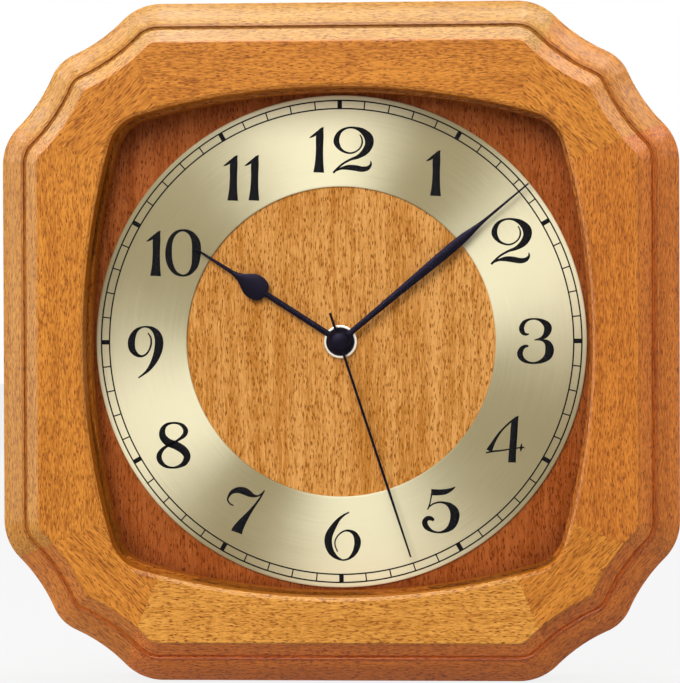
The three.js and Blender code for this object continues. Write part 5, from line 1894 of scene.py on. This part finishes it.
@dataclass
class HandSet:
    """The three hands and the nut that holds the movement to the dial."""

    shaft_half: float = 1.3 * MM
    tip_half: float = 0.36 * MM
    hour_hub: float = 6.3 * MM
    hour_bore: float = 2.8 * MM
    hour_start: float = 4.3 * MM
    pear_start: float = 39.2 * MM
    pear_widest: float = 45.0 * MM
    pear_end: float = 58.5 * MM
    pear_half: float = 5.55 * MM
    pear_neck: float = 0.9 * MM
    pear_handles: Pair = (0.4, 0.58)
    minute_hub: float = 5.2 * MM
    minute_bore: float = 1.9 * MM
    minute_start: float = 2.9 * MM
    minute_widest: float = 64 * MM
    minute_half: float = 2.25 * MM
    minute_neck: float = 89 * MM
    minute_neck_half: float = 0.6 * MM
    second_half: float = 0.58 * MM
    second_tail: float = 13.4 * MM
    second_shoulder: float = 68.8 * MM
    second_overlap: float = 0.6 * MM
    cap_radius: float = 4.4 * MM
    cap_bore: float = 0.95 * MM
    cap_rim: float = 0.35
    cap_roof: float = 0.5 * MM
    cap_steps: int = 64
    dome_steps: int = 10
    nut_bore: float = 5.2 * MM
    nut_ease: float = 0.5 * MM
    nut_flat: float = 0.6 * MM
    nut_steps: int = 120
    rim_steps: int = 6
    blued: MetalFinish = MetalFinish(
        (0.008, 0.0055, 0.015), (0.003, 0.002, 0.006), 0.24, 0.9, (0.5, 0.5, 0.5)
    )
    nickel: MetalFinish = MetalFinish((0.93, 0.88, 0.74), (0.74, 0.69, 0.56), 0.12, 1.0, (0.4, 4.0, 0.4))

    def pear(self, tip: float) -> Array:
        """Outline of the hour hand: a slim shaft, a pear and a needle tip.

        Args:
            tip: the hand's reach.

        Returns:
            Distances along the hand and half widths.
        """
        start, widest, end = self.pear_start, self.pear_widest, self.pear_end
        shaft, half, neck = self.shaft_half, self.pear_half, self.pear_neck
        rise = (widest - start) / 2
        first, last = ((end - widest) * share for share in self.pear_handles)
        swell = bezier((start, shaft), (start, shaft + rise), (widest - rise, half), (widest, half))
        narrow = bezier((widest, half), (widest + first, half), (end - last, neck), (end, neck))
        return np.vstack([(self.hour_start, shaft), swell, narrow[1:], (tip, self.tip_half)])

    def spear(self, tip: float) -> Array:
        """Outline of the minute hand: a long blade that swells and runs out into a needle.

        Args:
            tip: the hand's reach.

        Returns:
            Distances along the hand and half widths.
        """
        shaft, widest, half = self.shaft_half, self.minute_widest, self.minute_half
        neck, thin = self.minute_neck, self.minute_neck_half
        bulge = (neck - widest) / 2
        start, middle = self.minute_start, widest / 2
        swell = bezier((start, shaft), (middle, shaft), (widest - bulge, half), (widest, half))
        narrow = bezier((widest, half), (widest + bulge, half), (neck - bulge, thin), (neck, thin))
        return np.vstack([swell, narrow[1:], (tip, self.tip_half)])

    def second(self, metal: Material) -> None:
        """The second hand: a needle and its tail through a domed cap over the arbor.

        Args:
            metal: its finish.
        """
        hand = Hand("second_hand", "seconds", self.cap_radius, self.cap_bore)
        angle, tip = hand.rest()
        node, half = Reach.of(hand.node), self.second_half
        flat = replace(node, front=node.rear + Reach.of("hour_hand").thickness)
        start = (self.cap_radius - self.second_overlap, half)
        needle = [start, (self.second_shoulder, half), (tip, self.tip_half)]
        surface = Surface().add(hand.blade(needle, flat, angle))
        surface.add(hand.blade([start, (self.second_tail, half)], flat, angle + math.pi))
        turn = quarter(self.dome_steps)[:-1]
        rim, roof = node.rear + self.cap_rim * node.thickness, node.front - self.cap_roof
        surface.add(turned(np.vstack([
            [(HAIR, roof), (self.cap_bore, roof), (self.cap_bore, node.rear), (self.cap_radius, node.rear)],
            paired(self.cap_radius * np.cos(turn), rim + (node.front - rim) * np.sin(turn)),
            (HAIR, node.front),
        ]), steps=self.cap_steps))
        publish(surface.object("blued_second_hand"), metal, "seconds", ["second_hand"])

    def nut(self, metal: Material) -> None:
        """The polished round nut under the hands, with a rounded rim.

        Args:
            metal: its finish.
        """
        node, ease = Reach.of("fixing_nut"), self.nut_ease
        rim = circle(quarter(self.rim_steps))[:, ::-1] * ease + (node.right - ease, node.front - ease)
        profile = np.vstack([
            [(self.nut_bore, node.rear), (node.right, node.rear)],
            rim,
            [(node.right - self.nut_flat, node.front), (self.nut_bore, node.front)],
        ])
        surface = Surface().add(turned(profile, steps=self.nut_steps), ring=True)
        publish(surface.object("polished_fixing_nut"), metal, "case", ["fixing_nut"])

    def build(self) -> None:
        """Makes the hands and the nut."""
        metal = self.blued.material("blued_metal")
        hour = Hand("hour_hand", "hours", self.hour_hub, self.hour_bore)
        minute = Hand("minute_hand", "minutes", self.minute_hub, self.minute_bore)
        for hand, outline in ((hour, self.pear), (minute, self.spear)):
            angle, tip = hand.rest()
            reach = Reach.of(hand.node)
            surface = Surface().add(hand.blade(outline(tip), reach, angle))
            surface.add(hand.collar(reach), ring=True)
            publish(surface.object("blued_" + hand.node), metal, hand.body, [hand.node])
        self.second(metal)
        self.nut(self.nickel.material("polished_nickel"))


# Back of the movement
@dataclass
class PowerCell:
    """The round cell in its bay: a sleeve with rolled rims, a ringed base and a stepped positive nub.

    A row is a radius and a place along the cell. The base counts from the axis and its end, the rim from
    the sleeve's radius and end, and the nub from its own radius and the shoulder.
    """

    reach: Reach = field(default_factory=lambda: Reach.of("cell"))
    base: tuple[Pair, ...] = (
        (HAIR, 0.15 * MM), (3.9 * MM, 0.15 * MM), (4.2 * MM, 0.0), (5.5 * MM, 0.0),
        (5.8 * MM, 0.25 * MM), (6.3 * MM, 0.25 * MM), (6.5 * MM, 0.1 * MM),
    )
    rim: tuple[Pair, ...] = ((-0.25 * MM, 0.1 * MM), (0.0, 0.45 * MM), (0.0, 0.8 * MM))
    nub_length: float = 1.3 * MM
    nub_radius: float = 2.75 * MM
    nub: tuple[Pair, ...] = (
        (3.75 * MM, 0.0), (3.45 * MM, -0.25 * MM), (0.6 * MM, -0.25 * MM), (0.0, -0.05 * MM),
        (0.0, 0.9 * MM), (-0.12 * MM, 1.18 * MM), (-0.45 * MM, 1.3 * MM), (-2.7 * MM, 1.3 * MM),
    )
    steps: int = 96

    def profile(self) -> Array:
        """The cell's section.

        Returns:
            Radii and places along the cell from the base's middle to the nub's.
        """
        radius = (self.reach.high - self.reach.low) / 2
        start, shoulder = self.reach.left, self.reach.right - self.nub_length
        rim = np.array(self.rim)
        return np.concatenate([
            np.array(self.base) + (0.0, start),
            rim + (radius, start),
            rim[::-1] * (1, -1) + (radius, shoulder),
            np.array(self.nub) + (self.nub_radius, shoulder),
        ])

    def build(self) -> None:
        """Makes the cell: the profile's (r, x) at angle a lies at (x, up + r sin a, depth + r cos a)."""
        radius, along = self.profile().T[:, :, None]
        angle = np.linspace(0, FULL_TURN, self.steps, endpoint=False)
        up, depth = self.reach.middle[1], (self.reach.rear + self.reach.front) / 2
        grid = place(paired(along, up + radius * np.sin(angle)), depth + radius * np.cos(angle))
        piece = Surface().add(grid).object("sleeved_cell")
        jacket = JacketFinish(self.reach.left / MM, (self.reach.right - self.nub_length) / MM)
        publish(piece, jacket.material("cell_jacket_print"), "power_cell", ["cell"])


@dataclass
class MovementCover:
    """The movement's moulded cover with its collars, ridge and polarity marks, and the three keys in it."""

    cover: Reach = field(default_factory=lambda: Reach.of("movement_back_cover"))
    cell: Reach = field(default_factory=lambda: Reach.of("cell"))
    contact: Reach = field(default_factory=lambda: Reach.of("contact_positive"))
    corner: float = 0.9 * MM
    corner_steps: int = 6
    ease: float = 0.45 * MM
    flat_start: float = 0.63 * MM
    border: float = 1.5 * MM
    guard: float = 0.2 * MM
    sunk: float = 0.35 * MM
    sunk_slope: float = 0.21 * MM
    bay_gap: float = 0.5 * MM
    contact_gap: float = 0.3 * MM
    key_hole: float = 2.3 * MM
    key_collar: float = 0.9 * MM
    pivot_hole: float = 0.8 * MM
    pivot_collar: float = 0.72 * MM
    collar_rise: float = 0.3 * MM
    collar_soft: float = 0.12 * MM
    bar_corner: float = 0.3 * MM
    bar_steps: int = 4
    bar_slope: float = 0.4
    bar_flat: float = 0.6
    ridge_half: float = 22 * MM
    ridge_gap: float = 0.25 * MM
    ridge_height: float = 1.1 * MM
    ridge_rise: float = 0.6 * MM
    mark_length: float = 3.4 * MM
    mark_half: float = 0.35 * MM
    mark_rise: float = 0.25 * MM
    mark_spread: float = 26 * MM
    mark_gap: float = 4 * MM
    key_radius: float = 2 * MM
    flange: float = 0.6 * MM
    dish: float = 0.4 * MM
    dish_share: float = 0.78
    dish_steps: int = 8
    lip_share: float = 0.86
    lip: tuple[Pair, ...] = ((-0.06 * MM, 0.08 * MM), (0.0, 0.28 * MM), (0.0, 0.5 * MM))
    keys: tuple[tuple[str, str], ...] = (
        ("set_button", "set_key"), ("receive_button", "receive_key"), ("reset_button", "reset_key"),
    )
    pivots: tuple[str, ...] = ("seconds_wheel", "seconds_intermediate_wheel", "seconds_rotor")
    black: PlasticFinish = PlasticFinish((0.026, 0.026, 0.028), (0.050, 0.050, 0.052), 0.46)
    white: PlasticFinish = PlasticFinish((0.72, 0.71, 0.67), (0.80, 0.79, 0.76), 0.40)

    @property
    def window(self) -> Reach:
        """The opening in front of the cell's bay.

        Returns:
            Its reach, a little deeper than the cover's.
        """
        half = self.contact.right + self.contact_gap
        low, high = self.cell.low - self.bay_gap, self.cell.high + self.bay_gap
        rear, front = self.cover.rear - CUTTER_CLEARANCE, self.cover.front + CUTTER_CLEARANCE
        return Reach(-half, half, low, high, rear, front)

    @property
    def holes(self) -> list[tuple[Pair, float, float]]:
        """Middle, radius and collar's width of the holes for the keys and the pivots."""
        holes = [(Reach.of(node).middle, self.key_hole, self.key_collar) for node, _ in self.keys]
        return holes + [(Reach.of(node).middle, self.pivot_hole, self.pivot_collar) for node in self.pivots]

    def plate(self, plastic: Material) -> None:
        """The cover: an eased border round a sunk panel, with the window and the holes cut out.

        Args:
            plastic: its finish.
        """
        rear, panel, window = self.cover.rear, self.border + self.sunk_slope, self.window
        profile = eased_edge(self.cover, self.ease)
        profile += [(self.flat_start, rear), (self.border - self.guard, rear), (self.border, rear)]
        profile += [(panel, rear + self.sunk), (panel + self.guard, rear + self.sunk)]
        grid = slab(lambda inset: rounded_box(self.cover, self.corner, self.corner_steps, inset), profile)
        piece = Surface().add(grid).object("moulded_movement_cover")
        bay = prism(rounded_box(window, self.corner, self.corner_steps), window.rear, window.front)
        cutters = [bay.object("bay_cutter")]
        for number, (middle, radius, _) in enumerate(self.holes):
            hole = Surface().add(turned([(radius, window.rear), (radius, window.front)], middle))
            cutters.append(hole.object(f"bore_cutter_{number}"))
        cut_by(piece, *cutters)
        publish(piece, plastic, "case", ["movement_back_cover"])

    def bar(self, reach: Reach, rise: float) -> Array:
        """A raised bar with sloped sides on the sunk panel.

        Args:
            reach: its outline.
            rise: how far it stands proud of the panel.

        Returns:
            A row of points per profile point.
        """
        floor, slope = self.cover.rear + self.sunk, rise * self.bar_slope
        top = floor - rise
        profile = [(0.0, floor + HAIR), (0.0, top + slope), (slope, top), (rise * self.bar_flat, top)]
        return slab(lambda inset: rounded_box(reach, self.bar_corner, self.bar_steps, inset), profile)

    def trim(self, plastic: Material) -> None:
        """Collars round the keys and the pivots, the finger ridge above the bay, and a plus and a minus.

        Args:
            plastic: its finish.
        """
        surface = Surface()
        floor, soft = self.cover.rear + self.sunk, self.collar_soft
        top = floor - self.collar_rise
        for middle, radius, width in self.holes:
            edge = [(0.0, floor + HAIR), (0.0, top + soft), (soft, top)]
            surface.add(turned(washer(radius + HAIR, radius + HAIR + width, edge), middle), ring=True)
        window, half, long = self.window, self.mark_half, self.mark_length / 2
        low = window.high + self.ridge_gap
        ridge = replace(window, left=-self.ridge_half, right=self.ridge_half, low=low)
        surface.add(self.bar(replace(ridge, high=low + self.ridge_height), self.ridge_rise))
        level = window.high + self.mark_gap
        for side, wide, tall, rise in ((-1, long, half, 0.0), (1, long, half, 0.0), (1, half, long, HAIR)):
            middle = side * self.mark_spread
            mark = replace(window, left=middle - wide, right=middle + wide)
            mark = replace(mark, low=level - tall, high=level + tall)
            surface.add(self.bar(mark, self.mark_rise + rise))
        publish(surface.object("movement_cover_trim"), plastic, "case")

    def key(self, node: str, body: str, plastic: Material) -> None:
        """A push key: a dished round cap over a flange that keeps it in the cover.

        Args:
            node: the CAD button.
            body: the body that it moves with.
            plastic: its finish.
        """
        reach, radius = Reach.of(node), self.key_radius
        rear, seat, wide = reach.rear, reach.front - self.flange, reach.right - reach.middle[0]
        turn = quarter(self.dish_steps)[1:]
        profile = np.vstack([
            (HAIR, rear + self.dish),
            paired(radius * self.dish_share * np.sin(turn), rear + self.dish * np.cos(turn) ** 2),
            (radius * self.lip_share, rear),
            np.array(self.lip) + (radius, rear),
            [(radius, seat), (wide, seat), (wide, reach.front), (HAIR, reach.front)],
        ])
        piece = Surface().add(turned(profile, reach.middle)).object("dished_" + node)
        publish(piece, plastic, body, [node])

    def build(self) -> None:
        """Makes the cover, its trim and the keys."""
        black = self.black.material("moulded_black")
        white = self.white.material("moulded_white")
        self.plate(black)
        self.trim(black)
        for node, body in self.keys:
            self.key(node, body, white)


@dataclass
class BoardScrews:
    """The four pan-head screws that hold the dial board from behind."""

    steel: MetalFinish = MetalFinish((0.58, 0.58, 0.56), (0.34, 0.34, 0.33), 0.24, 1.0, (0.5, 0.5, 0.5))
    screws: tuple[Screw, ...] = (
        Screw("board_screw_top", Head.PAN, 10 * DEGREE),
        Screw("board_screw_right", Head.PAN, 38 * DEGREE),
        Screw("board_screw_bottom", Head.PAN, 71 * DEGREE),
        Screw("board_screw_left", Head.PAN, 25 * DEGREE),
    )

    def build(self) -> None:
        """Makes the screws."""
        steel = self.steel.material("screw_steel")
        for screw in self.screws:
            screw.build(steel)


# Carried-over pieces
@dataclass
class Movement:
    """The movement, the panels and the fasteners: CAD nodes that keep their shape and take a finish.

    A look is a material's name and finish, by the record's slot or, where it differs, by the node.
    """

    slots: Mapping[str, tuple[str, Finish]] = field(default_factory=lambda: {
        "beech": ("beech_strip", WoodFinish(layer=0.9)),
        "veneer": ("board_veneer", VeneerFinish()),
        "glass": ("clear_glass", GlassFinish()),
        "steel": ("zinc_plated_steel", MetalFinish((0.60, 0.60, 0.58), (0.36, 0.36, 0.35), 0.28)),
        "nickel": ("nickel_plate", MetalFinish((0.78, 0.76, 0.71), (0.52, 0.50, 0.46), 0.18)),
        "brass": (
            "turned_brass", MetalFinish((0.80, 0.56, 0.22), (0.50, 0.32, 0.10), 0.22, 1.0, (0.3, 5.0, 0.3))
        ),
        "copper_wire": ("enamelled_wire", WindingFinish()),
        "rubber": ("rubber", PlasticFinish((0.018, 0.018, 0.019), (0.035, 0.034, 0.034), 0.75)),
        "black_plastic": (
            "black_plastic", PlasticFinish((0.016, 0.016, 0.018), (0.034, 0.034, 0.036), 0.5)
        ),
        "white_plastic": ("white_plastic", PlasticFinish((0.72, 0.71, 0.67), (0.80, 0.79, 0.76), 0.42)),
        "circuit": ("circuit_board", CircuitFinish()),
        "ferrite": ("ferrite", PlasticFinish((0.030, 0.029, 0.030), (0.06, 0.058, 0.058), 0.62)),
    })
    upright_wood: WoodFinish = WoodFinish(turn=RIGHT_ANGLE, layer=1.1)
    upright_strips: tuple[str, ...] = ("spacer_strip_left", "spacer_strip_right")
    upright_wire: WindingFinish = WindingFinish(axis=CoilAxis.UP)
    upright_coils: tuple[str, ...] = ("minutes_coil", "seconds_coil")

    def build(self) -> None:
        """Gives every shown CAD node the finish of its slot, or its own."""
        finishes = {slot: finish.material(name) for slot, (name, finish) in self.slots.items()}
        wood = self.upright_wood.material("beech_strip_upright")
        wire = self.upright_wire.material("enamelled_wire_upright")
        special = {**dict.fromkeys(self.upright_strips, wood), **dict.fromkeys(self.upright_coils, wire)}
        for row in frame["record"]["subparts"]:
            node = frame["nodes"][row["node"]]
            if node.hide_render:
                continue
            node.data.materials.clear()
            node.data.materials.append(special.get(row["node"], finishes[row["material_slot"]]))
            log.info("node %s: %s", row["node"], row["material_slot"])


# Studio
@dataclass
class Studio:
    """Pale floor, soft light and a camera a bit to the right, its film shifted to keep the clock square."""

    floor_half: float = 6.0
    floor_gap: float = 0.2 * MM
    floor_grey: Colour = (0.4, 0.4, 0.4)
    floor_white: float = 0.85
    white: Colour = (1.0, 1.0, 1.0)
    ambient: float = 0.27
    ambient_tilt: float = 0.12
    camera_place: Triple = (0.129, -1.55, 0.015)
    lens: float = 181.5
    yaw: float = 3.87 * DEGREE
    pitch: float = -0.573 * DEGREE
    roll: float = -0.2 * DEGREE
    shift: Pair = (-0.0862, 0.0008)
    key_place: Triple = (-0.48, -2.27, 1.28)
    key_size: float = 1.5
    key_watts: float = 53.5
    back_places: tuple[Triple, ...] = ((1.7, 1.28, 0.75), (-1.35, 1.66, 0.75))
    back_size: float = 1.5
    back_watts: float = 22.0
    rim_distance: float = 0.95
    rim_size: Pair = (0.42, 0.12)
    rim_lamps: tuple[Triple, ...] = (
        (-90, 0.095, 0.28), (-67, 0.10, 0.5), (-45, 0.095, 0.8), (-22, 0.05, 1.15), (0, 0.02, 1.25),
        (22, 0.01, 1.2), (45, 0.005, 0.75), (67, -0.02, 0.2), (0, -0.16, 1.7), (-90, -0.14, 0.7),
    )

    def floor(self) -> None:
        """A white floor just under the clock, white to the camera apart from a faint shadow."""
        side, low = self.floor_half, CAD_BOX[0].z - self.floor_gap
        corners = [(-side, -side, low), (side, -side, low), (side, side, low), (-side, side, low)]
        mesh = bpy.data.meshes.new("studio_floor")
        mesh.from_pydata(corners, [], [(0, 1, 2, 3)])
        floor = bpy.data.objects.new("studio_floor", mesh)
        bpy.context.scene.collection.objects.link(floor)
        shader = Shader.new("studio_floor")
        matt = shader.add("ShaderNodeBsdfDiffuse", sockets={"Color": self.floor_grey})
        light = shader.add("ShaderNodeEmission", sockets={"Color": self.white, "Strength": 1.0})
        mesh.materials.append(shader.mixed(shader.seen_directly() * self.floor_white, matt, light))

    def world(self) -> None:
        """Light from all sides, stronger from above, and white to the camera, in metal and through glass."""
        world = bpy.data.worlds.new("studio")
        bpy.context.scene.world = world
        shader = Shader(world)
        sky = shader.add("ShaderNodeTexCoord").outputs["Generated"]
        ambient = shader.parts(sky)[2] * self.ambient_tilt + self.ambient
        direct = shader.seen_directly()
        strength = direct + (1 - direct) * ambient
        back = shader.add("ShaderNodeBackground", sockets={"Color": self.white, "Strength": strength})
        shader.add("ShaderNodeOutputWorld", sockets={"Surface": back.outputs[0]})

    def lamp(self, name: str, at: Vector, turn: Euler, size: Pair, watts: float) -> None:
        """A soft rectangular lamp.

        Args:
            name: the lamp's name.
            at: its place from the middle of the dial.
            turn: its turn from facing down.
            size: its width and depth.
            watts: its power.
        """
        data = bpy.data.lights.new(name, "AREA")
        data.shape = "RECTANGLE"
        data.size, data.size_y = size
        data.energy = watts
        lamp = bpy.data.objects.new(name, data)
        lamp.location = at + Vector((0.0, 0.0, AXIS_HEIGHT))
        lamp.rotation_euler = turn
        bpy.context.scene.collection.objects.link(lamp)

    def lamps(self) -> None:
        """One large lamp in front, two behind, and a fan of narrow ones round the top and the left edge.

        A narrow lamp's row is its angle clockwise from the top, its distance behind the dial and its watts.
        """
        large = [(self.key_place, self.key_size, self.key_watts)]
        large += [(at, self.back_size, self.back_watts) for at in self.back_places]
        for stand, size, watts in large:
            at = Vector(stand)
            self.lamp("studio_lamp", at, (-at).to_track_quat("-Z", "Y").to_euler(), (size, size), watts)
        for degrees, behind, watts in self.rim_lamps:
            turn = Euler((0.0, degrees * DEGREE, 0.0))
            at = turn.to_matrix() @ Vector((0.0, behind, self.rim_distance))
            self.lamp("rim_lamp", at, turn, self.rim_size, watts)

    def camera(self) -> None:
        """A long lens in front of the dial's middle, turned a little and shifted to frame the clock."""
        data = bpy.data.cameras.new("photograph")
        data.lens = self.lens
        data.shift_x, data.shift_y = self.shift
        camera = bpy.data.objects.new("photograph", data)
        across, forward, up = self.camera_place
        camera.location = (across, forward, AXIS_HEIGHT + up)
        level = Euler((RIGHT_ANGLE + self.pitch, 0.0, self.yaw)).to_matrix()
        camera.rotation_euler = (level @ Matrix.Rotation(self.roll, 3, "Z")).to_euler()
        bpy.context.scene.collection.objects.link(camera)
        bpy.context.scene.camera = camera

    def build(self) -> None:
        """Sets up the camera, the floor and the light."""
        bpy.context.scene.view_settings.view_transform = "Standard"
        self.camera()
        self.floor()
        self.world()
        self.lamps()


def main() -> None:
    """Builds the clock and its studio, sub-assembly by sub-assembly."""
    logging.basicConfig(level=logging.INFO, format="%(message)s")
    assemblies = (
        Studio, BeechFrame, Hanger, ChapterRing, HandSet, MovementCover, PowerCell, BoardScrews, Movement
    )
    for assembly in assemblies:
        log.info("building %s", assembly.__name__)
        assembly().build()


if __name__ == "__main__":
    main()
